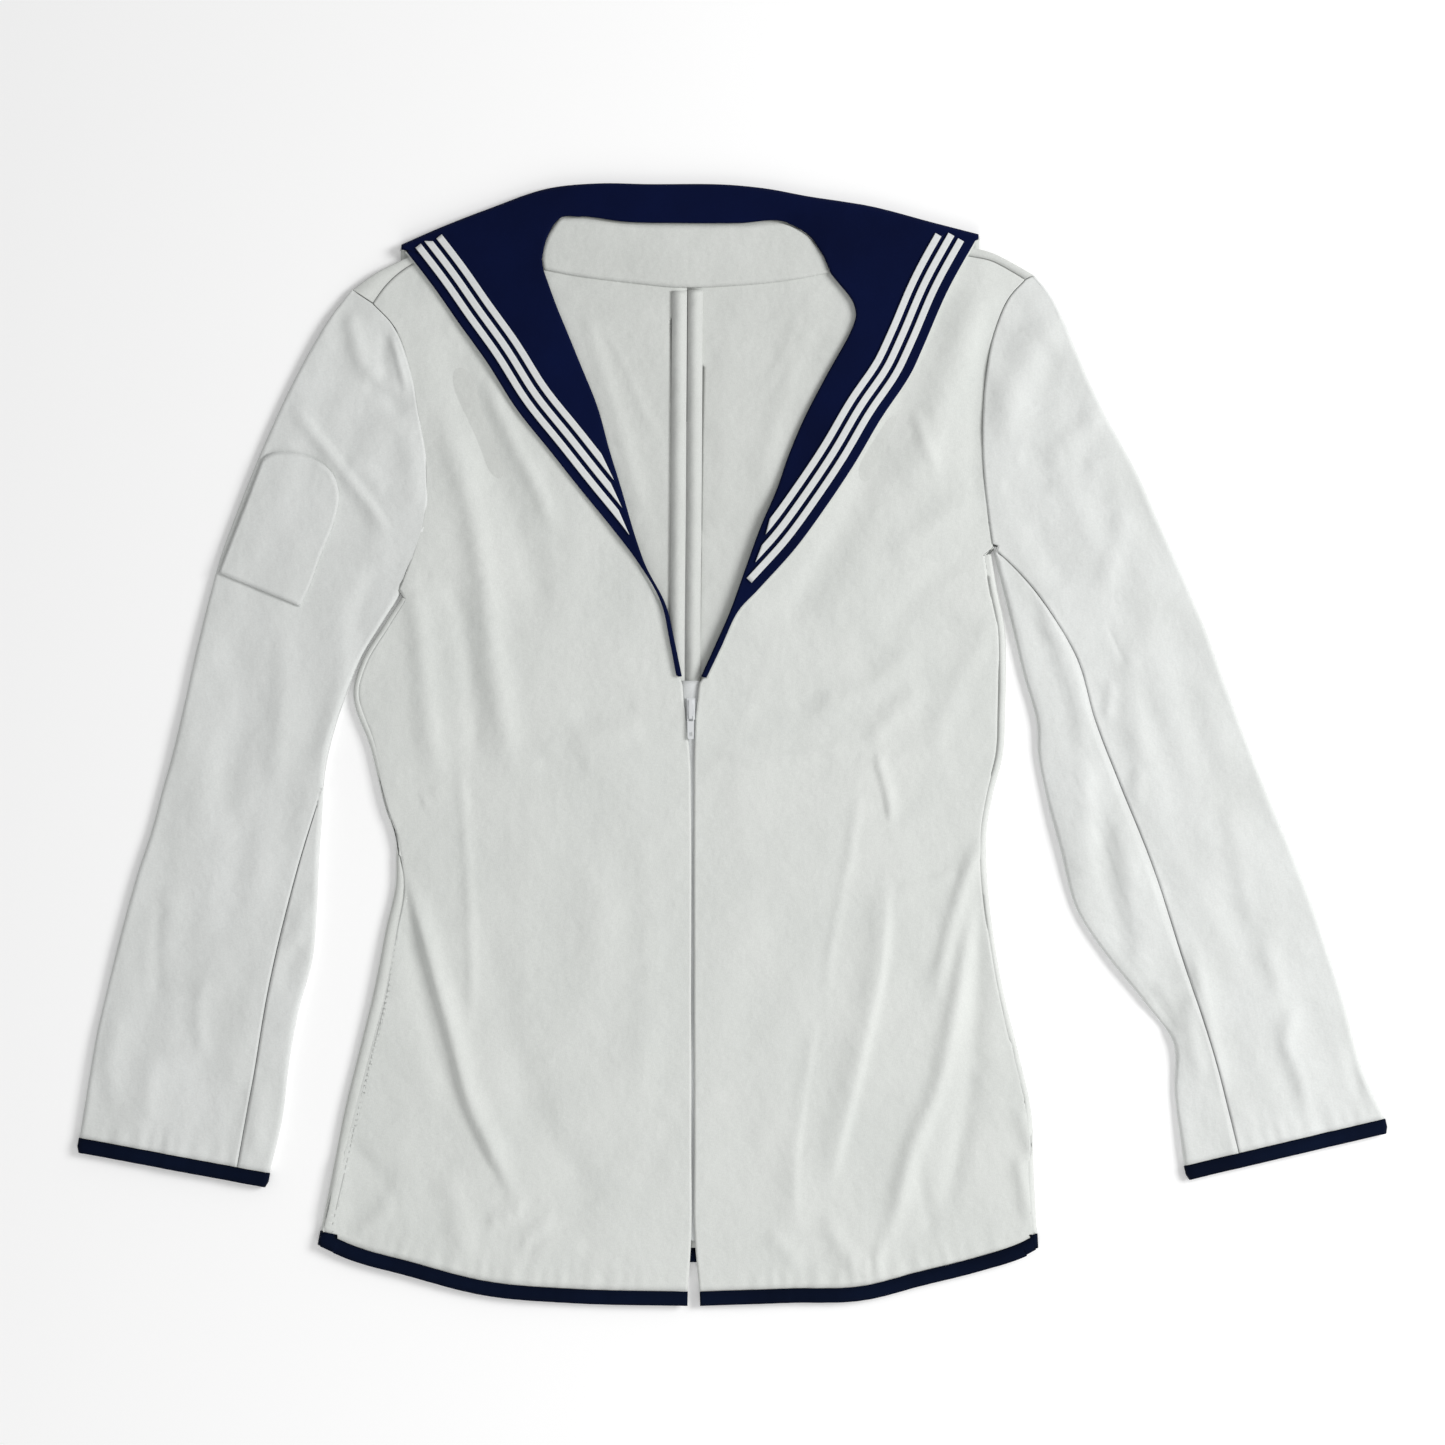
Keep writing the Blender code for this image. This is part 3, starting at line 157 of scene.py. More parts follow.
# Shoulder fold and, inside it on the upper layer, the shoulder seam; from the
# sleeve to the neck, where both lie under the collar.
#                 fold x  y     seam x  y
SHOULDER_LEFT = [(-259, 308, -245, 299), (-242, 320, -236, 311), (-226, 328, -223, 322.5),
                 (-200, 339, -198, 333), (-164, 354, -163, 348), (-138, 363, -138, 357)]
SHOULDER_RIGHT = [(204, 318, 198, 315), (190, 326, 187, 321.5), (176, 333, 174, 328),
                  (162, 337, 160, 331), (120, 347, 119, 341), (80, 356, 80, 350)]

# Hems from the front edges to the side folds, and the higher hem of the back.
HEM_LEFT = [(-31, -371), (-113, -369), (-168, -364), (-222, -350), (-258, -340), (-280, -330)]
HEM_RIGHT = [(-23, -371), (36, -369), (89, -367), (124, -358), (164, -348), (197, -337), (206, -332)]
BACK_HEM_LEFT = [(-29, -342), (-120, -341), (-200, -338), (-280, -330)]
BACK_HEM_RIGHT = [(-29, -342), (60, -341), (130, -339), (206, -332)]
CENTRE_BACK = [(-29, -342), (-31, -150), (-33, 44), (-32, 180), (-31, 349.5)]

# Front edges, from the hem to the foot of the lapels.
#              y     left   right
FRONT_EDGE = [(-371, -30.2, -23.5), (-337, -28.8, -26.2), (-276, -28.6, -26.6), (-174, -28.8, -26.8),
              (-38, -29.0, -26.8), (-9, -29.6, -26.7), (5, -31.0, -26.2), (17, -32.4, -25.7),
              (31, -34.0, -24.2), (43, -35.4, -22.2)]

# Sleeves from shoulder to cuff: outer edge, then inner edge below the underarm.
OUT_LEFT = [(-259, 308), (-272, 292), (-287, 268), (-301, 242), (-314, 214), (-326, 186),
            (-337, 158), (-348, 128)]
SLEEVE_LEFT = [(-355, 103, -238, 83), (-362, 75, -252, 60), (-367, 54, -259.5, 42), (-372, 31, -269, 15),
               (-382, -11, -278, -26), (-388, -32, -279.3, -48), (-394, -55, -281, -72),
               (-406, -92, -283, -112), (-416, -129, -286, -147), (-425, -165, -295, -180),
               (-433, -200, -302, -218), (-438, -230, -306, -252), (-444, -267, -315, -291)]
OUT_RIGHT = [(204, 318), (214, 306), (223, 290), (232, 269), (241, 248), (252, 225),
             (264, 203), (276, 180)]
SLEEVE_RIGHT = [(287, 155, 182.5, 107), (297, 133, 189, 81), (310, 103, 197, 47), (323, 72, 206, 15),
                (334, 41, 207, -7), (348, 3, 213, -38), (363, -35, 222, -72), (379, -73, 233, -112),
                (393, -109, 253, -143), (405, -145, 279, -175), (414, -174, 298, -201),
                (425, -215, 300, -239), (442, -254, 306, -286)]

# Forearm seams where they show on the upper layer, from the elbow or underarm down.
SEAM_LEFT = [(-278.5, -29), (-295, -82), (-315, -164), (-326, -228), (-339, -300)]
SEAM_RIGHT = [(176, 133), (187, 123), (202, 107), (217, 86), (233, 58), (245, 17), (262, -27),
              (283, -79), (306, -150), (325, -208), (346, -290)]

# Badge: a straight foot and sides under a round head, on the left sleeve's fold.
BADGE_OUTLINE = [(-349, 116), (-294, 93.5), (-288, 106), (-280, 128), (-270, 154), (-267.5, 168),
                 (-271, 182), (-280, 191), (-291, 196), (-304, 198), (-314, 197), (-319, 193.5)]

# Folds: rise, half-width, kind and path. A soft fold is a rounded ridge and a sharp one a
# crease; a steep one falls off quickly on the left of its path. A negative rise is a
# trough. Puckers are small waves along a seam.
FRONT_FOLDS = [
    (3.0, 9, "soft", at((438, 405), (462, 475), (476, 533), (486, 592), (493, 655), (504, 725), (513, 790))),
    (-2.0, 12, "soft", at((440, 330), (472, 410), (500, 480), (528, 560), (550, 640))),
    (2.0, 6, "soft", at((482, 372), (512, 440), (538, 490), (556, 540))),
    (-1.5, 7, "soft", at((444, 563), (462, 621), (472, 690), (478, 775))),
    (2.2, 8, "soft", at((408, 560), (420, 630), (426, 700), (438, 790))),
    (0.9, 4, "soft", at((459, 738), (467, 854), (472, 965), (470, 1046))),
    (-1.4, 12, "soft", at((482, 880), (508, 1024), (534, 1110), (576, 1174), (602, 1245))),
    (4.2, 8, "steep", at((523, 1210), (508, 1182), (491, 1148), (469, 1101), (452, 1037), (435, 977),
                         (418, 913), (404, 862))),
    (-1.6, 8, "soft", at((405, 905), (420, 982), (435, 1046), (461, 1118))),
    (1.6, 9, "soft", at((446, 1165), (458, 1215), (466, 1265))),
    (1.8, 5, "steep", at((530, 1203), (508, 1216), (484, 1224))),
    (1.7, 4, "steep", at((556, 1218), (536, 1231), (520, 1250))),
    (1.4, 5, "soft", at((530, 1255), (560, 1245), (590, 1247))),
    (-1.2, 6, "soft", at((346, 1136), (370, 1165), (395, 1190))),
    (1.6, 6, "soft", at((358, 1236), (378, 1215), (396, 1198))),
    (1.5, 8, "soft", at((338, 1150), (334, 1190), (330, 1225))),
    (1.3, 4, "steep", at((678, 752), (611, 755), (546, 752), (516, 758))),
    (-1.0, 6, "soft", at((534, 764), (560, 767), (590, 765))),
    (1.2, 8, "soft", at((565, 742), (605, 733), (648, 727))),
    (-1.0, 8, "soft", at((570, 716), (600, 712), (640, 708))),
    (1.2, 3, "sharp", at((420, 803), (434, 797), (446, 788))),
    (0.8, 3, "sharp", at((412, 734), (428, 735), (444, 733))),
    (2.6, 12, "soft", at((995, 268), (966, 329), (945, 386), (930, 440), (898, 498))),
    (-1.3, 8, "soft", at((992, 300), (982, 360), (975, 430), (976, 520))),
    (1.2, 4, "soft", at((912, 410), (925, 445), (938, 476))),
    (-2.0, 12, "soft", at((925, 365), (888, 430), (850, 520), (800, 600), (755, 645))),
    (1.4, 9, "soft", at((978, 492), (924, 530), (885, 560))),
    (-1.0, 8, "soft", at((985, 545), (930, 580), (880, 640))),
    (1.4, 8, "soft", at((920, 640), (890, 672), (852, 695), (800, 715))),
    (-1.0, 7, "soft", at((745, 712), (790, 706), (830, 697))),
    (1.5, 7, "soft", at((925, 688), (895, 712), (866, 746))),
    (1.2, 8, "soft", at((998, 600), (975, 650), (950, 700), (925, 760))),
    (1.4, 4, "steep", at((870, 751), (820, 753), (764, 762), (704, 748))),
    (1.7, 5, "steep", at((891, 826), (885, 790), (873, 750))),
    (0.8, 4, "soft", at((860, 780), (850, 850), (834, 930), (822, 1010))),
    (2.6, 11, "steep", at((886, 870), (881, 960), (868, 1024), (851, 1093), (838, 1144), (825, 1200))),
    (1.6, 4, "steep", at((892, 890), (922, 881), (958, 871))),
    (2.4, 5, "soft", at((984, 830), (964, 880), (948, 935), (932, 1000))),
    (3.2, 6, "soft", at((976, 885), (953, 1016), (936, 1089), (911, 1148), (894, 1213), (872, 1262))),
    (-2.0, 7, "soft", at((981, 870), (976, 939), (974, 1024), (968, 1089), (953, 1174), (936, 1240))),
    (-1.2, 4, "sharp", at((1019, 1036), (996, 1055), (968, 1064))),
    (-1.2, 4, "sharp", at((1032, 1102), (1005, 1101), (964, 1110))),
    (2.0, 5, "soft", at((1015, 1105), (1026, 1130), (1034, 1160))),
    (2.2, 5, "soft", at((1016, 1150), (1022, 1185), (1030, 1225))),
    (-1.1, 5, "soft", at((917, 1165), (924, 1200), (933, 1240))),
    (1.5, 5, "soft", at((765, 1230), (785, 1248), (801, 1268))),
    (1.6, 6, "soft", at((821, 1212), (843, 1250), (866, 1282))),
    (1.4, 4, "steep", at((842, 1262), (856, 1256), (872, 1264))),
    (1.6, 4, "soft", at((884, 1240), (876, 1258), (880, 1280))),
    (0.9, 9, "soft", at((787, 1130), (792, 1190), (790, 1240))),
    (0.8, 6, "steep", at((817, 1010), (806, 1080), (795, 1170), (797, 1225))),
    (0.8, 10, "soft", at((640, 800), (648, 960), (636, 1130))),
    (0.8, 12, "soft", at((560, 840), (600, 900), (580, 1010))),
    (0.5, 6, "pucker", at((324, 1220), (407, 1249), (487, 1270), (568, 1279), (684, 1280))),
    (0.5, 6, "pucker", at((702, 1281), (787, 1278), (865, 1274), (975, 1247), (1034, 1228))),
    (0.25, 3, "pucker", at((683, 800), (684, 1000), (684, 1270))),
    (0.25, 3, "pucker", at((704, 800), (705, 1000), (706, 1270))),
]
LEFT_SLEEVE_FOLDS = [
    (2.2, 6, "soft", at((350, 308), (357, 345), (366, 368), (386, 382))),
    (-1.2, 5, "soft", at((386, 330), (384, 355), (390, 385))),
    (1.6, 3, "soft", at((392, 334), (400, 362), (408, 394))),
    (-1.3, 6, "soft", at((362, 384), (385, 396), (404, 418))),
    (1.4, 8, "soft", at((376, 412), (405, 436), (416, 480), (417, 520))),
    (2.6, 6, "steep", at((292, 402), (330, 451), (359, 489), (377, 513), (394, 540))),
    (1.2, 6, "soft", at((345, 462), (366, 474), (388, 492))),
    (-1.2, 7, "soft", at((384, 560), (366, 590), (352, 640))),
    (-1.3, 12, "soft", at((233, 614), (244, 706), (230, 788), (249, 865))),
    (1.6, 9, "soft", at((286, 615), (282, 700), (274, 800))),
    (1.6, 8, "soft", at((354, 640), (340, 700), (318, 780))),
    (1.0, 9, "soft", at((196, 700), (180, 800), (172, 880))),
    (-1.0, 5, "soft", at((163, 895), (158, 950), (158, 1005))),
    (1.4, 6, "soft", at((205, 970), (200, 1020), (206, 1060))),
    (1.4, 7, "soft", at((120, 1010), (112, 1060), (116, 1115))),
    (1.2, 7, "soft", at((158, 1050), (150, 1090), (152, 1125))),
    (-0.9, 5, "soft", at((303, 940), (290, 965), (286, 995))),
    (1.2, 5, "soft", at((306, 900), (300, 930), (288, 950))),
    (1.2, 6, "soft", at((262, 1075), (256, 1115), (262, 1150))),
    (0.5, 5, "pucker", at((86, 1130), (155, 1142), (235, 1156), (268, 1164))),
]
RIGHT_SLEEVE_FOLDS = [
    (2.4, 11, "soft", at((1066, 310), (1029, 350), (1011, 395), (997, 455))),
    (-1.0, 8, "soft", at((1052, 345), (1046, 380), (1042, 420))),
    (1.8, 8, "soft", at((1104, 408), (1071, 440), (1040, 466))),
    (-1.1, 7, "soft", at((1072, 452), (1045, 458), (1015, 462))),
    (-0.9, 4, "soft", at((1000, 488), (1025, 487), (1054, 484))),
    (-1.2, 10, "soft", at((1026, 520), (1048, 548), (1062, 590))),
    (1.7, 8, "soft", at((1122, 505), (1114, 550), (1102, 596))),
    (1.2, 7, "soft", at((1094, 455), (1092, 475), (1090, 500))),
    (-0.9, 3, "sharp", at((1106, 624), (1115, 645), (1126, 668))),
    (1.4, 8, "soft", at((1128, 640), (1132, 700), (1144, 770))),
    (2.2, 5, "soft", at((1034, 592), (1055, 639), (1078, 706), (1083, 768))),
    (1.2, 3, "steep", at((1040, 626), (1052, 634), (1068, 636))),
    (3.2, 5, "soft", at((1082, 752), (1084, 800), (1089, 850), (1094, 890))),
    (-3.0, 8, "soft", at((1100, 805), (1103, 858), (1119, 913), (1136, 962))),
    (2.0, 5, "soft", at((1112, 800), (1126, 871), (1131, 933), (1144, 992))),
    (1.8, 6, "soft", at((1060, 760), (1072, 830), (1084, 895))),
    (2.0, 5, "steep", at((1192, 980), (1168, 992), (1146, 986))),
    (-2.2, 4, "soft", at((1152, 998), (1162, 1010), (1172, 1034))),
    (2.2, 6, "soft", at((1186, 985), (1191, 1040), (1204, 1085))),
    (1.7, 5, "soft", at((1190, 940), (1208, 1030), (1226, 1105))),
    (1.6, 5, "soft", at((1302, 1000), (1284, 1034), (1300, 1085), (1306, 1125))),
    (1.2, 6, "soft", at((1262, 935), (1270, 965), (1280, 1000))),
    (1.2, 7, "soft", at((1225, 800), (1236, 860), (1252, 930))),
    (1.3, 4, "soft", at((1111, 680), (1108, 700), (1106, 722))),
    (1.3, 5, "soft", at((1139, 764), (1136, 785), (1134, 805))),
    (1.2, 5, "soft", at((1146, 872), (1152, 890), (1164, 905))),
    (-1.0, 5, "soft", at((1350, 1046), (1352, 1070), (1358, 1096))),
    (1.2, 5, "soft", at((1362, 1062), (1366, 1085), (1374, 1108))),
    (0.5, 5, "pucker", at((1200, 1158), (1236, 1143), (1273, 1132), (1330, 1120), (1380, 1109))),
]
BACK_FOLDS = [
    (0.9, 5, "soft", at((584, 296), (593, 340), (617, 416), (634, 480), (650, 540))),
    (0.7, 3, "steep", at((666, 450), (641, 410), (626, 372), (598, 322))),
    (0.9, 6, "soft", at((818, 292), (798, 350), (776, 420), (752, 500))),
    (0.7, 4, "steep", at((800, 300), (790, 345), (760, 400))),
    (0.6, 9, "soft", at((730, 300), (724, 420), (716, 560))),
    (0.8, 9, "soft", at((450, 700), (520, 840), (500, 1040))),
    (0.8, 9, "soft", at((980, 660), (930, 860), (950, 1120))),
    (0.9, 7, "soft", at((620, 1010), (660, 1120), (650, 1230))),
    (0.9, 8, "soft", at((840, 760), (800, 940), (812, 1150))),
    (0.7, 4, "sharp", at((480, 870), (600, 884), (740, 872), (900, 880))),
]
COLLAR_FOLDS = [
    (1.2, 8, "soft", at((792, 222), (826, 250), (846, 300), (850, 345))),
    (-0.8, 7, "soft", at((812, 222), (850, 262), (872, 320), (868, 370))),
    (1.0, 8, "soft", at((560, 230), (566, 290), (596, 370), (622, 450))),
    (0.6, 14, "soft", at((640, 200), (700, 208), (770, 204))),
]

# Where the part's source moved the garment, from the slider's box.
SLIDER_LOW_CORNER = (-32.4, 16.5, 3.9)
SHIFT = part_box("zip_slider")[0] - Vector(SLIDER_LOW_CORNER) * MM


# Curves in plan

def smooth_curve(points, per_span=10):
    """A smooth run of points through the given ones."""
    p = np.array(points, float)
    s = np.concatenate([[0], np.cumsum(np.linalg.norm(np.diff(p, axis=0), axis=1))])
    slope = np.gradient(p, s, axis=0)
    run = []
    for k in range(len(p) - 1):
        span = s[k + 1] - s[k]
        for t in np.arange(per_span) / per_span:
            run.append((2 * t**3 - 3 * t**2 + 1) * p[k] + (t**3 - 2 * t**2 + t) * span * slope[k]
                       + (3 * t**2 - 2 * t**3) * p[k + 1] + (t**3 - t**2) * span * slope[k + 1])
    return np.array(run + [p[-1]])


def lengths(points):
    """Distance along a run of points, from 0 to 1."""
    s = np.concatenate([[0], np.cumsum(np.linalg.norm(np.diff(points, axis=0), axis=1))])
    return s / s[-1]


def spaced(points, count):
    """The given number of points, evenly spaced along a smooth curve."""
    fine = smooth_curve(points)
    s = lengths(fine)
    return np.stack([np.interp(np.linspace(0, 1, count), s, fine[:, k]) for k in range(2)], axis=1)


def left_of(points):
    """Unit vectors that point to the left of a run of points."""
    along = np.gradient(np.array(points, float), axis=0)
    along /= np.maximum(np.linalg.norm(along, axis=1, keepdims=True), 1e-9)
    return np.stack([-along[:, 1], along[:, 0]], axis=1)


def shifted(points, distance):
    """The run of points, moved to its left."""
    return np.array(points, float) + left_of(points) * distance


def crossing(start, end, line):
    """Where the line from start to end crosses a run of points, as a share of its length."""
    along = end - start
    away = np.array([-along[1], along[0]])
    side = (line - start) @ away
    for k in range(len(line) - 1):
        if side[k] * side[k + 1] <= 0 and side[k] != side[k + 1]:
            meet = line[k] + (line[k + 1] - line[k]) * side[k] / (side[k] - side[k + 1])
            share = (meet - start) @ along / (along @ along)
            if 0 <= share <= 1:
                return share
    return 1.0


def spaced_like(points, pattern):
    """Points along a curve, spaced in the same shares as another run of points."""
    fine = smooth_curve(points)
    return np.stack([np.interp(lengths(pattern), lengths(fine), fine[:, k]) for k in range(2)], axis=1)


def fill(low, high, inner, outer):
    """A grid of plan points between four edges that share their corners."""
    u = (0.5 * (lengths(low) + lengths(high)))[None, :, None]
    v = (0.5 * (lengths(inner) + lengths(outer)))[:, None, None]
    low, high = low[None], high[None]
    inner, outer = inner[:, None], outer[:, None]
    corners = ((1 - u) * (1 - v) * low[:, :1] + u * (1 - v) * low[:, -1:]
               + (1 - u) * v * high[:, :1] + u * v * high[:, -1:])
    return (1 - v) * low + v * high + (1 - u) * inner + u * outer - corners


# Heights

def smooth_step(t):
    t = np.clip(t, 0, 1)
    return t * t * (3 - 2 * t)


PUCKER_PITCH = 11.0          # along a seam, from one pucker to the next
STEEP = 0.35                 # narrows the steep side of a fold
FOLD_REACH = 3.0             # half-widths from its path within which a fold is felt


def prepared(folds):
    """The same folds, with their paths as straight steps."""
    made = []
    for rise, half_width, kind, path in folds:
        path = smooth_curve(path, 4)
        step = np.diff(path, axis=0)
        waves = np.linalg.norm(step, axis=1).sum() / PUCKER_PITCH
        made.append((rise, half_width, kind, path, step, (step**2).sum(axis=1), lengths(path), waves))
    return made


def relief(xy, folds):
    """Height that folds add at plan points; each fades out towards its ends."""
    points = np.asarray(xy, float).reshape(-1, 2)
    total = np.zeros(len(points))
    for rise, half_width, kind, path, step, squares, shares, waves in folds:
        reach = FOLD_REACH * half_width * (2 if kind in ("sharp", "pucker") else 1)
        near = ((points > path.min(axis=0) - reach) & (points < path.max(axis=0) + reach)).all(axis=1)
        if not near.any():
            continue
        from_start = points[near][:, None, :] - path[:-1]
        share = np.clip((from_start * step).sum(axis=-1) / squares, 0, 1)
        off = from_start - share[..., None] * step
        away = np.linalg.norm(off, axis=-1)
        k = away.argmin(axis=-1)
        row = np.arange(len(k))
        d = away[row, k] / half_width
        if kind == "steep":
            on_left = step[k, 0] * off[row, k, 1] - step[k, 1] * off[row, k, 0] > 0
            d = np.where(on_left, d / STEEP, d)
        place = shares[k] + share[row, k] * (shares[k + 1] - shares[k])
        fade = smooth_step(np.minimum(place, 1 - place) / 0.22)
        shape = np.exp(-d if kind in ("sharp", "pucker") else -d**2)
        if kind == "pucker":
            turns = 2 * math.pi * waves * place
            shape = shape * (0.7 * np.sin(turns + 1.3 * np.sin(turns / 5)) + 0.5 * np.sin(0.61 * turns))
        total[near] += rise * fade * shape
    return total.reshape(np.asarray(xy).shape[:-1])


def crumple(seed, angle, along, across, height, waves=28):
    """A gentle unevenness of worn cloth, as a sum of waves longer along the angle than across it."""
    draw = np.random.default_rng(seed)
    heading = draw.uniform(0, 2 * math.pi, waves)
    pitch = draw.uniform(0.55, 1.5, waves)
    phase = draw.uniform(0, 2 * math.pi, waves)
    turn = math.radians(angle)
    u = np.array([math.cos(turn), math.sin(turn)])
    v = np.array([-math.sin(turn), math.cos(turn)])
    wave = (np.outer(np.cos(heading) / along, u) + np.outer(np.sin(heading) / across, v)) * pitch[:, None]

    def at_points(xy):
        return height * math.sqrt(2 / waves) * np.cos(2 * math.pi * (xy @ wave.T) + phase).sum(axis=-1)
    return at_points


FRONT_FOLDS = prepared(FRONT_FOLDS)
LEFT_SLEEVE_FOLDS = prepared(LEFT_SLEEVE_FOLDS)
RIGHT_SLEEVE_FOLDS = prepared(RIGHT_SLEEVE_FOLDS)
BACK_FOLDS = prepared(BACK_FOLDS)
COLLAR_FOLDS = prepared(COLLAR_FOLDS)
FRONT_CRUMPLE = crumple(3, 84, 120, 60, 0.22)
LEFT_SLEEVE_CRUMPLE = crumple(5, 72, 90, 34, 0.34)
RIGHT_SLEEVE_CRUMPLE = crumple(8, -67, 90, 34, 0.36)
BACK_CRUMPLE = crumple(11, 88, 110, 50, 0.1)
COLLAR_CRUMPLE = crumple(13, 60, 90, 45, 0.12)
BACK_LIFT = 0.25             # keeps the crumpled back clear of the surface


def back_height(xy):
    """The lower layer: on the surface, or on the collar's flap."""
    flap_left, flap_right = FOLD[0][0], FOLD[-1][0]
    beyond_x = np.maximum(np.maximum(flap_left - xy[..., 0], xy[..., 0] - flap_right), 0)
    beyond_y = np.maximum(FLAP_LOW_Y - xy[..., 1], 0)
    beyond = np.hypot(beyond_x, beyond_y)
    level = BACK_OVER_FLAP_Z + (BACK_Z - BACK_OVER_FLAP_Z) * smooth_step((beyond - FLAP_REST) / FLAP_RAMP)
    return level + np.maximum(relief(xy, BACK_FOLDS) + BACK_CRUMPLE(xy) + BACK_LIFT, 0)


def front_height(xy):
    return TOP_Z + relief(xy, FRONT_FOLDS) + FRONT_CRUMPLE(xy)


def left_sleeve_height(xy):
    return TOP_Z + relief(xy, LEFT_SLEEVE_FOLDS) + LEFT_SLEEVE_CRUMPLE(xy)


def right_sleeve_height(xy):
    return TOP_Z + relief(xy, RIGHT_SLEEVE_FOLDS) + RIGHT_SLEEVE_CRUMPLE(xy)


def raised(xy, height):
    """Plan points with their height added."""
    return np.concatenate([xy, np.broadcast_to(height, xy.shape[:-1])[..., None]], axis=-1)


# Cloth walls

class Sheet:
    """The middle surface of one piece of cloth, welded from grids of points."""

    def __init__(self):
        self.points = []
        self.faces = []
        self.known = {}

    def corner(self, point):
        key = tuple(round(float(c), 3) for c in point)
        if key not in self.known:
            self.known[key] = len(self.points)
            self.points.append([float(c) for c in point])
        return self.known[key]

    def add(self, grid):
        for lower, upper in zip(grid[:-1], grid[1:]):
            for k in range(len(lower) - 1):
                quad = [self.corner(p) for p in (lower[k], lower[k + 1], upper[k + 1], upper[k])]
                face = [c for i, c in enumerate(quad) if c not in quad[:i]]
                if len(face) > 2:
                    self.faces.append(face)


def cloth_wall(name, sheet, thickness, material, lift=0.0):
    """A closed wall of even thickness round a middle surface that is moved out by lift."""
    middle = bmesh.new()
    corners = [middle.verts.new(p) for p in sheet.points]
    for face in sheet.faces:
        middle.faces.new([corners[i] for i in face])
    bmesh.ops.recalc_face_normals(middle, faces=middle.faces)
    highest = max(middle.faces, key=lambda f: f.calc_center_median().z)
    if highest.normal.z < 0:
        bmesh.ops.reverse_faces(middle, faces=middle.faces)
    middle.normal_update()
    middle.verts.index_update()
    shell = bmesh.new()
    skins = []
    for reach in (lift + thickness / 2, lift - thickness / 2):
        skins.append([shell.verts.new((v.co + v.normal * min(v.calc_shell_factor(), 1.6) * reach) * MM)
                      for v in middle.verts])
    for face in middle.faces:
        ring = [v.index for v in face.verts]
        shell.faces.new([skins[0][i] for i in ring])
        shell.faces.new([skins[1][i] for i in reversed(ring)])
    for edge in middle.edges:
        if edge.is_boundary:
            loop = edge.link_loops[0]
            a, b = loop.vert.index, loop.link_loop_next.vert.index
            shell.faces.new([skins[0][b], skins[0][a], skins[1][a], skins[1][b]])
    middle.free()
    return finished(name, shell, material)


def finished(name, mesh_in_metres, material):
    """A smoothly shaded object made from a bmesh, moved to the frame's origin."""
    for v in mesh_in_metres.verts:
        v.co += SHIFT
    for f in mesh_in_metres.faces:
        f.smooth = True
    mesh = bpy.data.meshes.new(name)
    mesh_in_metres.to_mesh(mesh)
    mesh_in_metres.free()
    mesh.materials.append(material)
    piece = bpy.data.objects.new(name, mesh)
    bpy.context.scene.collection.objects.link(piece)
    return piece


# Folds at the edge of a flattened tube

def fold_radius(low_z, high_z):
    return (high_z - low_z) / 2


def seam_angle(inset, radius):
    """Where a seam lies on the upper side of a fold, in degrees, clear of its top."""
    return min(math.degrees(math.acos(np.clip(1 - inset / radius, 0, 1))), 90 - 2 * SEAM_TURN)


def round_fold(edge, inward, low_z, high_z, angles):
    """Points round a fold; -90 degrees is the lower layer and 90 the upper one."""
    radius = fold_radius(low_z, high_z)
    points = []
    for angle in np.radians(angles):
        inset = radius * (1 - math.cos(angle))
        height = low_z + radius * (1 + math.sin(angle))
        points.append([*(edge + inward * inset), height])
    return points


# Sections of the sleeves, from the shoulder to the cuff: outer edge, then inner edge

SECTIONS_LEFT = smooth_curve([(*out, *arm) for out, arm in zip(OUT_LEFT, ARM_LEFT)] + SLEEVE_LEFT)
SECTIONS_RIGHT = smooth_curve([(*out, *arm) for out, arm in zip(OUT_RIGHT, ARM_RIGHT)] + SLEEVE_RIGHT)
OPEN_ROWS = 10 * (len(ARM_LEFT) - 1) + 1
ARM_LINE_LEFT = SECTIONS_LEFT[:OPEN_ROWS, 2:]
ARM_LINE_RIGHT = SECTIONS_RIGHT[:OPEN_ROWS, 2:]


# Body: two fronts and two backs

FRONT_COLUMNS = 130
NECK_COLUMNS = 30


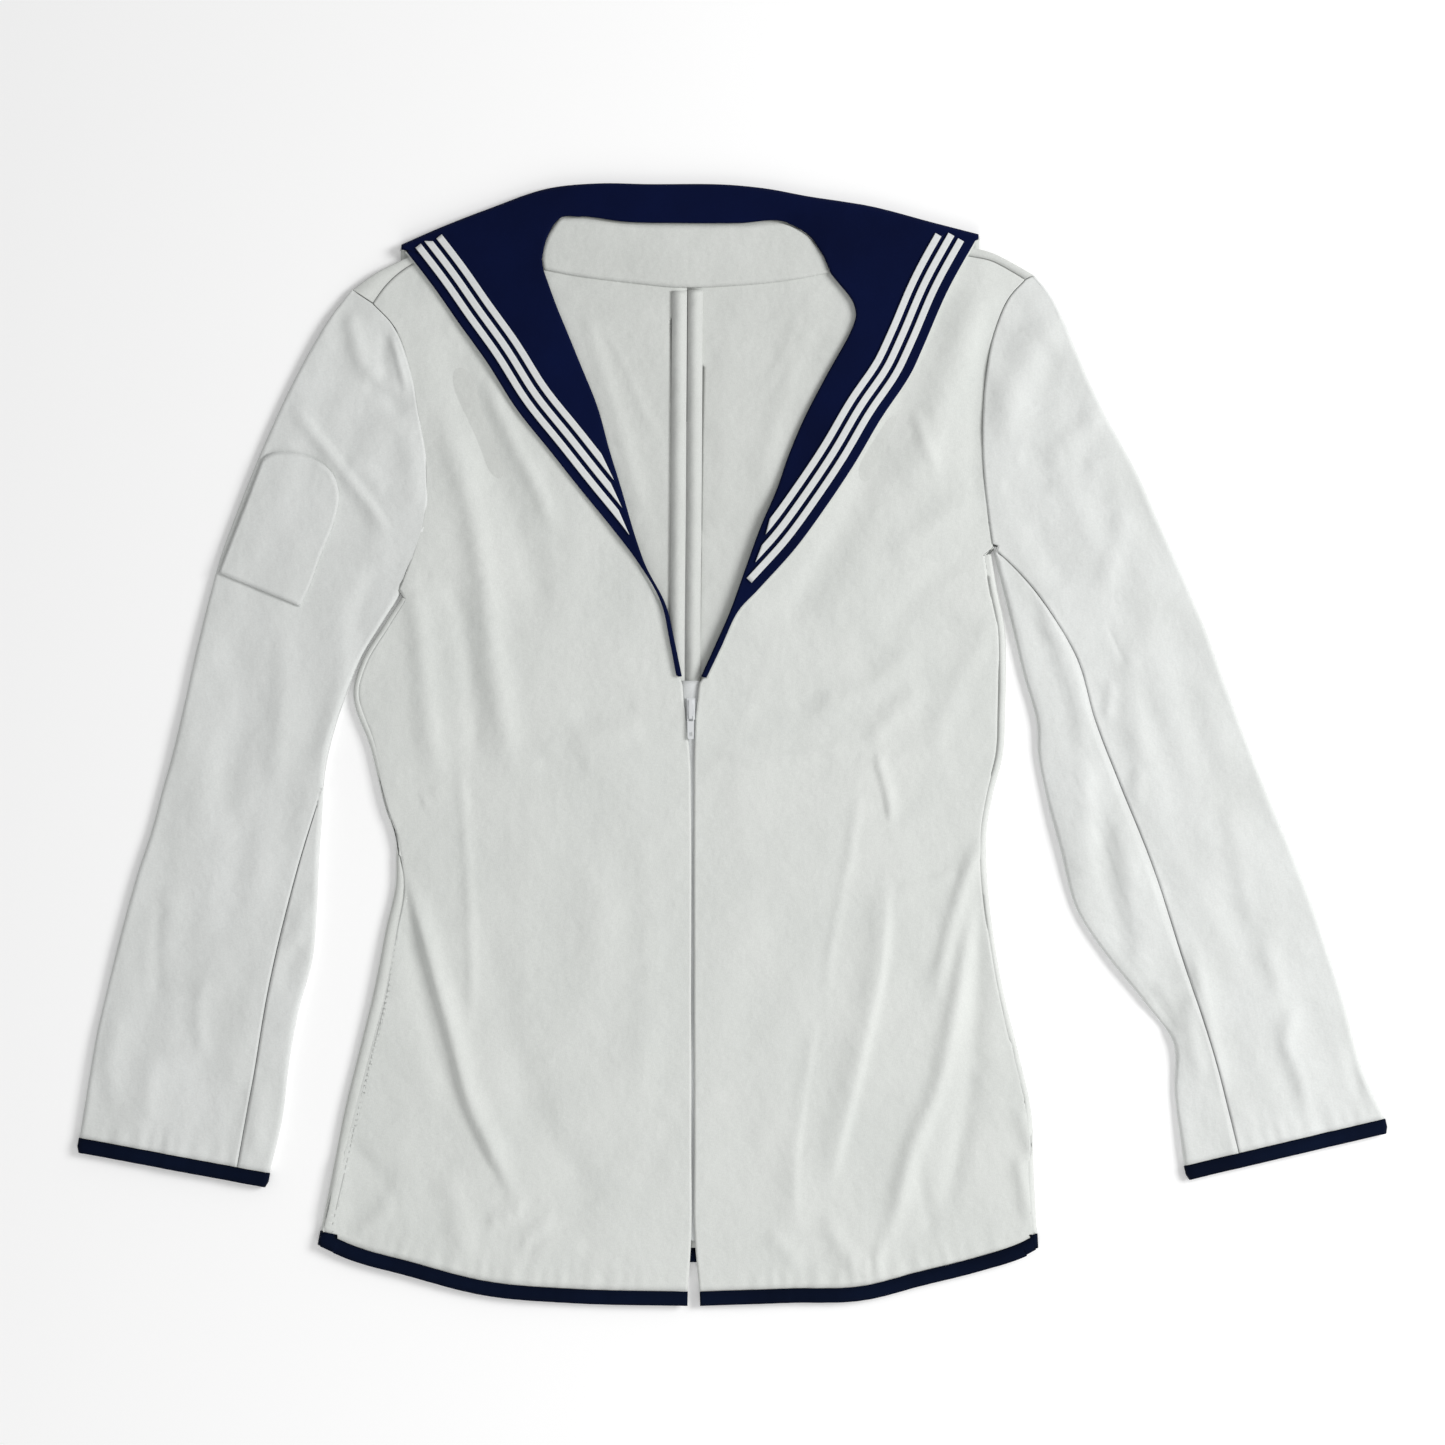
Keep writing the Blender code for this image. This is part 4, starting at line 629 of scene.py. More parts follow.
class Half:
    """One half of the body; sense is -1 for the left half and 1 for the right half."""

    def __init__(self, sense, side, arm, shoulder, front_hem, back_hem, neck_edge):
        self.sense = sense
        side = smooth_curve(side)
        self.seam_inset = side[:, 2]
        self.fold = shifted(side[:, :2], sense * HALF_WALL)
        self.inward = left_of(side[:, :2]) * sense
        self.arm = shifted(arm, -sense * SEAM_GAP / 2)[::-1]
        shoulder = np.array(shoulder, float)
        along = shoulder[1, :2] - shoulder[0, :2]
        shoulder[0] += np.tile(along / np.linalg.norm(along), 2) * SEAM_GAP
        fold = spaced(shoulder[:, :2], FRONT_COLUMNS)
        self.shoulder_seam = spaced(shoulder[:, 2:], FRONT_COLUMNS)
        self.shoulder_inward = left_of(fold) * sense
        beside_sleeve = self.shoulder_seam[0] - fold[0]
        self.shoulder_inward[0] = beside_sleeve / np.linalg.norm(beside_sleeve)
        self.shoulder_fold = fold + self.shoulder_inward * HALF_WALL
        self.front_hem = np.array(front_hem, float)
        self.back_hem = np.array(back_hem, float)
        self.neck_edge = np.array(neck_edge, float)

    def at_fold(self, row):
        """Height of the lower and the upper layer beside the side fold."""
        beside = self.fold[row] + self.inward[row] * FOLD_BESIDE
        return float(back_height(beside)), float(front_height(beside))

    def front(self):
        """The upper layer, with its share of the side fold."""
        strip = []
        for row, (edge, inward) in enumerate(zip(self.fold, self.inward)):
            low_z, high_z = self.at_fold(row)
            radius = fold_radius(low_z, high_z)
            seam = self.seam_inset[row]
            if seam > radius:
                starts = [edge + inward * (seam + SEAM_GAP / 2 + k) for k in (0, 1, 2)]
                rolled = [[*p, float(front_height(p))] for p in starts]
            else:
                turned = np.linspace(seam_angle(seam, radius) + SEAM_TURN, 90, 3)
                rolled = round_fold(edge, inward, low_z, high_z, turned)
            end = edge + inward * max(seam + STRIP_WIDTH, radius + FOLD_MARGIN)
            strip.append(rolled + [[*end, float(front_height(end))]])
        strip = np.array(strip)
        high = self.shoulder_seam[::-1] + self.shoulder_inward[::-1] * SEAM_GAP / 2
        outer = np.concatenate([strip[:, -1, :2], self.arm[:-1], high[-1:]])
        low = np.concatenate([spaced(self.front_hem, FRONT_COLUMNS)[:-1], outer[:1]])
        inner = spaced_like(np.concatenate([low[:1], self.neck_edge, high[:1]]), outer)
        grid = fill(low, high, inner, outer)
        grid = raised(grid, front_height(grid))
        self.front_hem_row = np.concatenate([grid[0, :-1], strip[0, ::-1]])
        sheet = Sheet()
        sheet.add(strip)
        sheet.add(grid)
        return sheet

    def side_strip(self):
        """The back's share of the side fold, from the lower layer to the side seam."""
        strip = []
        for row, (edge, inward) in enumerate(zip(self.fold, self.inward)):
            low_z, high_z = self.at_fold(row)
            radius = fold_radius(low_z, high_z)
            seam = self.seam_inset[row]
            start = edge + inward * (radius + FOLD_MARGIN)
            rolled = [[*start, float(back_height(start))]]
            if seam > radius:
                rolled += round_fold(edge, inward, low_z, high_z, (-90, -45, 0, 45, 90))
                end = edge + inward * (seam - SEAM_GAP / 2)
                rolled.append([*end, float(front_height(end))])
            else:
                turned = np.linspace(-90, seam_angle(seam, radius) - SEAM_TURN, 6)
                rolled += round_fold(edge, inward, low_z, high_z, turned)
            strip.append(rolled)
        return np.array(strip)

    def shoulder_strip(self):
        """The back's share over the shoulder, from the lower layer to the shoulder seam."""
        strip = []
        for edge, inward, seam in zip(self.shoulder_fold, self.shoulder_inward, self.shoulder_seam):
            beside = edge + inward * FOLD_BESIDE
            low_z, high_z = float(back_height(beside)), float(front_height(beside))
            start = edge + inward * (fold_radius(low_z, high_z) + FOLD_MARGIN)
            seam = seam - inward * SEAM_GAP / 2
            rolled = [[*start, float(back_height(start))]]
            rolled += round_fold(edge, inward, low_z, high_z, (-90, -30, 30, 90))
            strip.append(rolled + [[*seam, float(front_height(seam))]])
        return np.array(strip)

    def back(self):
        """The lower layer, which turns up at the side and over the shoulder."""
        side = self.side_strip()
        over = self.shoulder_strip()
        shoulder = over[::-1, 0, :2]
        outer = np.concatenate([side[:, 0, :2], self.arm, shoulder[-1:]])
        centre = np.array(CENTRE_BACK, float) + [self.sense * SEAM_GAP / 2, 0]
        allowance = [self.sense * (ALLOWANCE_WIDTH - SEAM_GAP / 2), 0]
        low = spaced(self.back_hem, NECK_COLUMNS + len(shoulder))
        low = np.concatenate([centre[:1], centre[:1] + allowance, low[2:-1], outer[:1]])
        neck = spaced([centre[-1] + allowance, self.neck_corner(), shoulder[0]], NECK_COLUMNS)
        high = np.concatenate([centre[-1:], neck, shoulder[1:]])
        inner = spaced_like(centre, outer)
        grid = fill(low, high, inner, outer)
        grid[:, 1] = grid[:, 0] + allowance
        grid = raised(grid, back_height(grid))
        self.back_hem_row = np.concatenate([grid[0, :-1], side[0]])
        self.centre_columns = grid[:, :2]
        sheet = Sheet()
        sheet.add(side)
        sheet.add(over)
        sheet.add(grid)
        return sheet

    def neck_corner(self):
        """Where the back neck seam passes under the roll of the collar."""
        station = NECK[3] if self.sense < 0 else NECK[-3]
        return np.array(station[:2], float) - [0, 4]


def front_edge_points(column, lapel, sense):
    """A front's free edge: up beside the zip, then just inside the roll of the lapel."""
    beside_zip = [(row[column], row[0]) for row in FRONT_EDGE[1:]]
    roll = np.array(lapel, float)[::-1, :2]
    clear = LAPEL_CLEAR + LAPEL_CLEAR_STEP * np.arange(len(roll))
    beside_roll = roll - left_of(roll) * sense * clear[:, None]
    return np.concatenate([beside_zip, beside_roll])


LEFT = Half(-1, SIDE_LEFT, ARM_LINE_LEFT, SHOULDER_LEFT, HEM_LEFT, BACK_HEM_LEFT,
            front_edge_points(1, LAPEL_LEFT, -1))
RIGHT = Half(1, SIDE_RIGHT, ARM_LINE_RIGHT, SHOULDER_RIGHT, HEM_RIGHT, BACK_HEM_RIGHT,
             front_edge_points(2, LAPEL_RIGHT, 1))


# Sleeves: each is a flattened tube of two pieces

TOP_COLUMNS = 80
UNDER_COLUMNS = 24
LINE_COLUMNS = 10


class Sleeve:
    """One sleeve as sections from its outer fold to its inner edge."""

    def __init__(self, sense, sections, seam, height):
        self.sense = sense
        self.height = height
        self.open_rows = OPEN_ROWS
        outer = sections[:, :2]
        inner = np.concatenate([shifted(sections[:OPEN_ROWS, 2:], sense * SEAM_GAP / 2), sections[OPEN_ROWS:, 2:]])
        width = np.linalg.norm(inner - outer, axis=1, keepdims=True)
        self.across = (inner - outer) / width
        self.outer = outer + self.across * HALF_WALL
        inner[self.open_rows:] -= self.across[self.open_rows:] * HALF_WALL
        self.inner = inner
        self.width = np.linalg.norm(self.inner - self.outer, axis=1)
        self.seam = smooth_curve(seam)
        self.seam_from_underarm = np.linalg.norm(self.seam[0] - inner[self.open_rows - 1]) < 2

    def layer(self, row, distances, height):
        """Points of one layer at distances from the outer fold."""
        points = self.outer[row] + np.outer(distances, self.across[row])
        return raised(points, height(points)).tolist()

    def outer_fold(self, row, angles):
        beside = self.outer[row] + self.across[row] * FOLD_BESIDE
        low_z, high_z = float(back_height(beside)), float(self.height(beside))
        return round_fold(self.outer[row], self.across[row], low_z, high_z, angles)

    def inner_fold(self, row, angles):
        beside = self.inner[row] - self.across[row] * FOLD_BESIDE
        low_z, high_z = float(back_height(beside)), float(self.height(beside))
        return round_fold(self.inner[row], -self.across[row], low_z, high_z, angles)

    def reach(self, points, row):
        """Distance of the last point from the outer fold."""
        return float((np.array(points[-1][:2]) - self.outer[row]) @ self.across[row])

    def back_seam(self, row):
        fold = self.reach(self.outer_fold(row, (-90,)), row)
        return max(self.width[row] * BACK_SEAM_SHARE, fold + FOLD_MARGIN)

    def forearm_seam(self, row):
        """Where the forearm seam shows on this section, or None where it lies at the fold."""
        if row < self.open_rows - 1:
            return self.width[row]
        if row == self.open_rows - 1:
            share = 1.0 - UNDERARM_SEAM / self.width[row] if self.seam_from_underarm else 1.0
        else:
            share = crossing(self.outer[row], self.inner[row], self.seam)
        return share * self.width[row] if share < 1.0 else None

    def top(self):
        rows = []
        for row in range(len(self.outer)):
            fold = self.outer_fold(row, (-90, -45, 0, 45, 90))
            start = self.reach(fold, row)
            line = self.layer(row, np.linspace(self.back_seam(row) - SEAM_GAP / 2, start, LINE_COLUMNS)[:-1], back_height)
            seam = self.forearm_seam(row)
            if seam is None:
                turn = self.inner_fold(row, (90, 50, 14))
                stop = self.reach(turn[:1], row)
                upper = self.layer(row, np.linspace(start, stop, TOP_COLUMNS)[1:-1], self.height) + turn
            else:
                stop = seam if row < self.open_rows - 1 else seam - SEAM_GAP / 2
                flat = np.linspace(start, stop - 2 * FOREARM_LINES, TOP_COLUMNS)[1:]
                steps = [*flat, stop - FOREARM_LINES, stop]
                upper = self.layer(row, steps, self.height)
            rows.append(line + fold + upper)
        self.top_cuff = np.array(rows[-1])
        sheet = Sheet()
        sheet.add(np.array(rows))
        return sheet

    def under(self):
        lines, turns = [], []
        for row in range(len(self.outer)):
            seam = self.forearm_seam(row)
            start = self.back_seam(row) + SEAM_GAP / 2
            if row < self.open_rows - 1:
                lines.append(self.layer(row, np.linspace(start, self.width[row], UNDER_COLUMNS), back_height))
                continue
            turned = np.linspace(-90, -14, 14)
            turn = self.inner_fold(row, turned if seam is None else (-90, -45, 0, 45, 90))
            stop = self.reach(turn[:1], row)
            lines.append(self.layer(row, np.linspace(start, stop, UNDER_COLUMNS)[:-1], back_height) + turn[:1])
            if seam is not None:
                turn += self.layer(row, np.linspace(stop, seam + SEAM_GAP / 2, 10)[1:], self.height)
            turns.append(turn)
        self.under_cuff = np.array(lines[-1] + turns[-1][1:])
        sheet = Sheet()
        sheet.add(np.array(lines))
        sheet.add(np.array(turns))
        return sheet

    def cuff(self):
        """The binding round the end of the sleeve."""
        ring = np.concatenate([self.top_cuff, self.under_cuff[::-1], self.top_cuff[:1]])
        across = self.across[-1]
        outward = np.array([-across[1], across[0]]) * self.sense
        centre = (self.outer[-1] + self.inner[-1]) / 2
        rows = []
        for distance in (SEAM_GAP, BINDING_MIDDLE * BINDING_WIDTH, BINDING_WIDTH):
            squeeze = CUFF_ROUNDING if distance == BINDING_WIDTH else 0.0
            row = binding_height(ring)
            share = (row[:, :2] - centre) @ across / (self.width[-1] / 2)
            row[:, :2] += outward * distance - np.outer(share * squeeze, across)
            rows.append(row)
        sheet = Sheet()
        sheet.add(np.array(rows))
        return sheet


def binding_height(points):
    """The same points, with the lower layer raised to the middle of the thicker binding."""
    row = np.array(points, float)
    share = (TOP_Z - BINDING / 2) / (TOP_Z - CLOTH / 2)
    row[:, 2] = BINDING / 2 + (row[:, 2] - CLOTH / 2) * share
    return row


# Collar

FOLD_RADIUS = fold_radius(FLAP_Z, COLLAR_Z)
FOLD_CURVE = smooth_curve(FOLD)
FOLD_CURVE = np.concatenate([[3 * FOLD_CURVE[0] - 2 * FOLD_CURVE[1]], FOLD_CURVE,
                             [3 * FOLD_CURVE[-1] - 2 * FOLD_CURVE[-2]]])
LAPEL_COLUMNS = 30
BAND_ROWS = 14
FLAP_ROWS = 30


def fold_y(x):
    """Height in plan of the collar's upper fold, at the middle of its wall."""
    return np.interp(x, FOLD_CURVE[:, 0], FOLD_CURVE[:, 1]) - HALF_WALL


def collar(lining):
    """Middle surface of the collar; the lining has no roll and shows past the navy edge."""
    left = smooth_curve(LAPEL_LEFT)
    right = smooth_curve(LAPEL_RIGHT)
    neck = smooth_curve(NECK)
    neck[:, 2] = np.clip(neck[:, 2], 0, 1)
    overhang = LINING_OVERHANG if lining else 0.0
    inner_line = np.concatenate([left[::-1, :2], neck[:, :2], right[:, :2]])
    turn = np.concatenate([np.ones(len(left)), neck[:, 2], np.ones(len(right))])
    into = left_of(inner_line)
    inset = HALF_WALL + ROLL_RADIUS * turn
    if lining:
        inset += LINING_CLEAR + LINING_CLEAR_ROLL * turn
    edge = inner_line + into * inset[:, None]
    edge_left = edge[:len(left)][::-1]
    edge_neck = edge[len(left):-len(right)]
    edge_right = edge[-len(right):]
    sheet = Sheet()
    tops = []
    for table, start, sense in ((left, edge_left, -1), (right, edge_right, 1)):
        corner_x = table[0, 2] + sense * overhang
        outer = shifted(table[:, 2:], sense * overhang)
        outer[0] = [corner_x, fold_y(corner_x) - FOLD_RADIUS]
        shares = np.linspace(0, 1, LAPEL_COLUMNS)[None, :, None]
        grid = start[:, None] + (outer - start)[:, None] * shares
        sheet.add(raised(grid, COLLAR_Z))
        tops.append(grid[0])
    lower = np.concatenate([tops[0][::-1], edge_neck, tops[1]])
    seam_z = NECK_SEAM_Z + (COLLAR_Z - NECK_SEAM_Z) * neck[:, 2]
    lower_z = np.concatenate([np.full(LAPEL_COLUMNS, COLLAR_Z), seam_z, np.full(LAPEL_COLUMNS, COLLAR_Z)])
    fold_x = np.concatenate([np.linspace(tops[0][-1, 0], NECK_FOLD_LEFT, LAPEL_COLUMNS), neck[:, 3],
                             np.linspace(NECK_FOLD_RIGHT, tops[1][-1, 0], LAPEL_COLUMNS)])
    upper = np.stack([fold_x, fold_y(fold_x) - FOLD_RADIUS], axis=1)
    upper[0], upper[-1] = lower[0], lower[-1]
    rows = []
    for t in np.linspace(0, 1, BAND_ROWS):
        rows.append(raised(lower + (upper - lower) * t, lower_z + (COLLAR_Z - lower_z) * smooth_step(t)))
    down = np.array([0.0, -1.0])
    crests = np.stack([fold_x, upper[:, 1] + FOLD_RADIUS], axis=1)
    for angle in range(72, -91, -18):
        rows.append(np.array([round_fold(crest, down, FLAP_Z, COLLAR_Z, (angle,))[0] for crest in crests]))
    for t in np.linspace(0, 1, FLAP_ROWS)[1:]:
        y = upper[:, 1] + (FLAP_LOW_Y - overhang - upper[:, 1]) * t
        rows.append(raised(np.stack([fold_x, y], axis=1), FLAP_Z))
    sheet.add(np.array(rows))
    if not lining:
        edge_z = np.concatenate([np.full(len(left), COLLAR_Z), seam_z, np.full(len(right), COLLAR_Z)])
        sheet.add(collar_roll(inner_line, into, turn, edge_z))
    return sheet


def collar_roll(line, into, turn, edge_z):
    """The strip that turns down from the collar's inner edge to the neck seam."""
    radius = ROLL_RADIUS * turn
    rows = []
    for angle, drop in ((0, 0), (22, 0), (45, 0), (67, 0), (90, 0), (90, ROLL_DROP)):
        sine, cosine = math.sin(math.radians(angle)), math.cos(math.radians(angle))
        inset = HALF_WALL + radius - radius * sine
        height = edge_z - radius * (1 - cosine) - drop * turn
        rows.append(raised(line + into * inset[:, None], height))
    return np.array(rows)


def tape(lapel, sense, number):
    """One of the three tapes, parallel to the lapel's outer edge until it meets the roll."""
    table = np.array(lapel, float)
    first = table[0, 2:] - table[1, 2:]
    outer = smooth_curve(np.concatenate([[table[0, 2:] + first], table[:9, 2:]]))
    roll = smooth_curve(table[:, :2])
    near = TAPE_MARGIN + TAPE_PITCH * number
    sides = []
    for distance in (near, near + TAPE_WIDTH):
        line = shifted(outer, -sense * distance)
        low_fold = fold_y(line[:, 0]) - FOLD_RADIUS - TAPE_END
        gap = np.array([(line[k, 0] - np.interp(line[k, 1], roll[::-1, 1], roll[::-1, 0])) * sense
                        for k in range(len(line))])
        kept = line[(line[:, 1] < low_fold) & (gap > HALF_WALL + ROLL_RADIUS + TAPE_ROLL)]
        sides.append(spaced_like(kept[::3], np.linspace([0, 0], [1, 0], 90)))
    grid = np.stack([sides[0] + (sides[1] - sides[0]) * t for t in (0, 0.1, 0.35, 0.65, 0.9, 1)], axis=1)
    sheet = Sheet()
    sheet.add(raised(grid, COLLAR_Z + LAYER_STEP))
    return sheet


# Back neck band, seam allowances, zip and badge

def neck_band():
    low = np.array(FACING_LOW, float)
    high = np.array([(-118, 356.5), (-103, 356.3), (-75, 352.8), (-34, 351.6), (4, 351.6), (36, 352.2),
                     (50.5, 344.5)])
    low, high = spaced(low, 60), spaced(high, 60)
    left = spaced([low[0], (-130.4, 329), (-127.4, 342), high[0]], 14)
    right = spaced([low[-1], (61.5, 331), high[-1]], 14)
    sheet = Sheet()
    sheet.add(raised(fill(low, high, left, right), BACK_OVER_FLAP_Z + LAYER_STEP))
    return sheet


def seam_allowance(half):
    """Pressed-open allowance beside the centre back seam, up to the neck band."""
    columns = half.centre_columns
    columns = columns[columns[:, 0, 1] < FACING_LOW[3][1] - 1]
    sheet = Sheet()
    sheet.add(columns + [0, 0, LAYER_STEP])
    return sheet


ZIP_TAPE_Z = BACK_Z + 2 * LAYER_STEP
SLIDER_LOW_Z = ZIP_TAPE_Z + CLOTH / 2 + 0.3
SLIDER_TOP_Z = SLIDER_LOW_Z + 2.5
PULL_Z = SLIDER_TOP_Z + 0.8
PULL_CLOTH = 1.0
SLIDER_X = -29.0
SLIDER_TOP_Y = 31.0
SLIDER_LOW_Y = 16.5
PULL_Y = 19.5
#              y from axis  half-width outside, inside
PULL_ROWS = [(0.5, 2.3, 1.5), (-0.5, 2.3, 1.5), (-4.0, 2.3, 1.5), (-11.6, 2.2, 1.0),
             (-14.2, 2.1, 1.0), (-16.0, 1.9, 1.0)]
PULL_HOLES = (1, 3)          # the spaces after these rows are open in the middle
SLIDER_HALF_WIDTH = 3.4
SLIDER_TOP_HALF_WIDTH = 2.6
CROWN_HALF_WIDTH = 1.1
CROWN_RISE = 0.7             # underside of the crown above the pull's axis
CROWN_WALL = 0.8
CROWN_LOW = 2.3              # reach of the crown below and above the pull's axis
CROWN_HIGH = 10.5
CROWN_FOOT = 3.0


def zip_tape():
    centre = [((left + right) / 2, y) for y, left, right in FRONT_EDGE if y >= ZIP_LOW_Y]
    line = spaced(centre, 120)
    line[-1, 1] = ZIP_TOP_Y
    half = ZIP_TAPE_WIDTH / 2
    grid = np.stack([line - [half, 0], line, line + [half, 0]], axis=1)
    sheet = Sheet()
    sheet.add(raised(grid, ZIP_TAPE_Z))
    return sheet


def badge():
    foot = np.array(BADGE_OUTLINE[:2], float)
    head = spaced(BADGE_OUTLINE[1:], 70)
    side = head[-1] + (foot[0] - head[-1]) * np.linspace(0, 1, 30)[1:-1, None]
    outline = np.concatenate([foot[0] + (foot[1] - foot[0]) * np.linspace(0, 1, 24)[:-1, None], head, side, foot[:1]])
    centre = outline[:-1].mean(axis=0)
    rings = [centre + (outline - centre) * share for share in np.linspace(0, 1, 16)]
    grid = np.array(rings)
    rise = (CLOTH + BADGE_CLOTH) / 2 + BADGE_CLEAR
    sheet = Sheet()
    sheet.add(raised(grid, left_sleeve_height(grid) + rise))
    return sheet


def hem_binding():
    """One strip from front edge to front edge, round both side folds and across the back."""
    rows = [LEFT.front_hem_row, LEFT.back_hem_row[::-1], RIGHT.back_hem_row, RIGHT.front_hem_row[::-1]]
    downs = []
    for row, half in zip(rows, (LEFT, LEFT, RIGHT, RIGHT)):
        side = left_of(row[:, :2])
        side *= np.where(side[:, 1:] < 0, 1.0, -1.0)
        at_fold = half.inward[0] * half.sense
        near_fold = np.linalg.norm(row[:, :2] - half.fold[0], axis=1) < 12
        side[near_fold] = [at_fold[1], -at_fold[0]] if at_fold[0] > 0 else [-at_fold[1], at_fold[0]]
        downs.append(side)
    line = binding_height(np.concatenate(rows))
    down = np.concatenate(downs)
    down = down / np.linalg.norm(down, axis=1, keepdims=True)
    grid = []
    for distance in (SEAM_GAP, BINDING_MIDDLE * BINDING_WIDTH, BINDING_WIDTH):
        row = line.copy()
        row[:, :2] += down * distance
        grid.append(row)
    sheet = Sheet()
    sheet.add(np.array(grid))
    return sheet


# Materials

def shader_of(name, roughness, metallic=0.0, sheen=0.0, specular=0.5):
    material = bpy.data.materials.new(name)
    material.use_nodes = True
    shader = material.node_tree.nodes["Principled BSDF"]
    shader.inputs["Roughness"].default_value = roughness
    shader.inputs["Metallic"].default_value = metallic
    shader.inputs["Sheen Weight"].default_value = sheen
    shader.inputs["Specular IOR Level"].default_value = specular
    return material, material.node_tree, shader


def node(tree, kind, **inputs):
    made = tree.nodes.new(kind)
    for key, value in inputs.items():
        made.inputs[key.replace("_", " ")].default_value = value
    return made


def noise(tree, place, scale, detail=3.0, roughness=0.5):
    made = node(tree, "ShaderNodeTexNoise", Scale=scale, Detail=detail, Roughness=roughness)
    tree.links.new(place, made.inputs["Vector"])
    return made.outputs["Fac"]


def threads(tree, place, angle, pitch):
    """Parallel threads at an angle, pitch in metres."""
    turned = node(tree, "ShaderNodeMapping", Rotation=(0, 0, math.radians(angle)))
    tree.links.new(place, turned.inputs["Vector"])
    wave = node(tree, "ShaderNodeTexWave", Scale=math.pi / 10 / pitch, Distortion=0.6, Detail=1.0)
    wave.inputs["Detail Scale"].default_value = 2.0
    tree.links.new(turned.outputs["Vector"], wave.inputs["Vector"])
    return wave.outputs["Fac"]


def ramp(tree, value, low, high):
    """Colours from low to high as the value goes from 0.3 to 0.7."""
    made = tree.nodes.new("ShaderNodeValToRGB")
    made.color_ramp.elements[0].position = 0.3
    made.color_ramp.elements[1].position = 0.7
    made.color_ramp.elements[0].color = (*low, 1)
    made.color_ramp.elements[1].color = (*high, 1)
    tree.links.new(value, made.inputs["Fac"])
    return made.outputs["Color"]


def mixed(tree, blend, factor, first, second):
    made = tree.nodes.new("ShaderNodeMix")
    made.data_type = "RGBA"
    made.blend_type = blend
    for value, socket in ((factor, made.inputs[0]), (first, made.inputs[6]), (second, made.inputs[7])):
        if hasattr(value, "is_output"):
            tree.links.new(value, socket)
        else:
            socket.default_value = value
    return made.outputs[2]


def bumped(tree, shader, layers):
    """Stacks bumps: (height, depth in metres)."""
    normal = None
    for height, depth in layers:
        bump = node(tree, "ShaderNodeBump", Strength=1.0, Distance=depth)
        tree.links.new(height, bump.inputs["Height"])
        if normal:
            tree.links.new(normal, bump.inputs["Normal"])
        normal = bump.outputs["Normal"]
    tree.links.new(normal, shader.inputs["Normal"])


def cloth(name, low, high, thread, grain=0.0, twill=60.0, crumple=0.0006, sheen=0.15, roughness=0.85,
          specular=0.5):
    """Woven cloth: a twill of fine threads, soft crumples and a slightly uneven colour."""
    material, tree, shader = shader_of(name, roughness, sheen=sheen, specular=specular)
    place = tree.nodes.new("ShaderNodeTexCoord").outputs["Object"]
    clouds = noise(tree, place, 14.0, 4.0)
    colour = ramp(tree, clouds, low, high)
    ribs = threads(tree, place, grain + twill, thread)
    across = threads(tree, place, grain, thread * 0.8)
    fibres = noise(tree, place, 900.0, 2.0)
    shade = ramp(tree, ribs, (0.9, 0.9, 0.9), (1.0, 1.0, 1.0))
    speck = ramp(tree, fibres, (0.94, 0.94, 0.94), (1.0, 1.0, 1.0))
    colour = mixed(tree, "MULTIPLY", 1.0, colour, shade)
    colour = mixed(tree, "MULTIPLY", 1.0, colour, speck)
    tree.links.new(colour, shader.inputs["Base Color"])
    bumped(tree, shader, [(noise(tree, place, 30.0, 3.0), crumple * 3), (noise(tree, place, 95.0, 2.0), crumple),
                          (across, 0.00004), (ribs, 0.00006), (fibres, 0.00005)])
    return material


BODY_CLOTH = cloth("body_drill", (0.76, 0.785, 0.755), (0.81, 0.83, 0.80), 0.0007)
# The same white drill made lighter for the sleeves and the badge: painted light. Its grain turned along the sleeve is
# the cloth's own.
SLEEVE_CLOTH_PAINTED_LIGHT = cloth("sleeve_drill", (0.77, 0.79, 0.77), (0.84, 0.86, 0.845), 0.0007, grain=15.0)
# The same white drill made darker for the back, its seam allowances, the collar's lining and the neck band: painted
# shade of the garment's inside.
INSIDE_CLOTH_PAINTED_SHADE = cloth("inside_drill_painted_shade", (0.70, 0.72, 0.69), (0.76, 0.78, 0.75), 0.0007)
NAVY_CLOTH = cloth("collar_navy", (0.0006, 0.0030, 0.026), (0.0014, 0.0055, 0.042), 0.0006, crumple=0.0003,
                   sheen=0.01, specular=0.08)
BINDING_CLOTH = cloth("binding_navy", (0.0008, 0.0035, 0.015), (0.0018, 0.0062, 0.024), 0.0005, grain=45.0,
                      crumple=0.0003, sheen=0.01, specular=0.08)
TAPE_CLOTH = cloth("tape_white", (0.76, 0.78, 0.78), (0.83, 0.85, 0.85), 0.0008, twill=90.0, crumple=0.0001)
# White thread coloured grey, darker than the cloth, standing in for the shadows in the dents of stitching: painted
# shade.
THREAD_WHITE_PAINTED_SHADE = cloth("thread_white_painted_shade", (0.52, 0.55, 0.54), (0.64, 0.66, 0.65), 0.0003, crumple=0.0001)
THREAD_NAVY = cloth("thread_navy", (0.002, 0.006, 0.03), (0.005, 0.014, 0.06), 0.0003, crumple=0.0001,
                    sheen=0.01, specular=0.1)


# Cloth pieces

def piece(name, sheet, thickness, material, nodes, held="laid", lift=0.0):
    """A cloth wall that rides on the jumper and stands for its nodes, which it hides; gives back its size and area.
    """
    made = cloth_wall(name, sheet, thickness, material, lift)
    points = np.array(sheet.points)[:, :2]
    size = (points.max(axis=0) - points.min(axis=0)) * MM
    area = sum(face.area for face in made.data.polygons) / 2
    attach(made, "jumper")
    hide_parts(*nodes)
    return made, size, area


def sheet_piece(name, sheet, thickness, material, held="laid", lift=0.0):
    """As piece, for the node of the same name without its ending."""
    node_name = name[:-len("_cloth")]
    made, size, area = piece(name, sheet, thickness, material, (node_name,), held, lift)
    return made


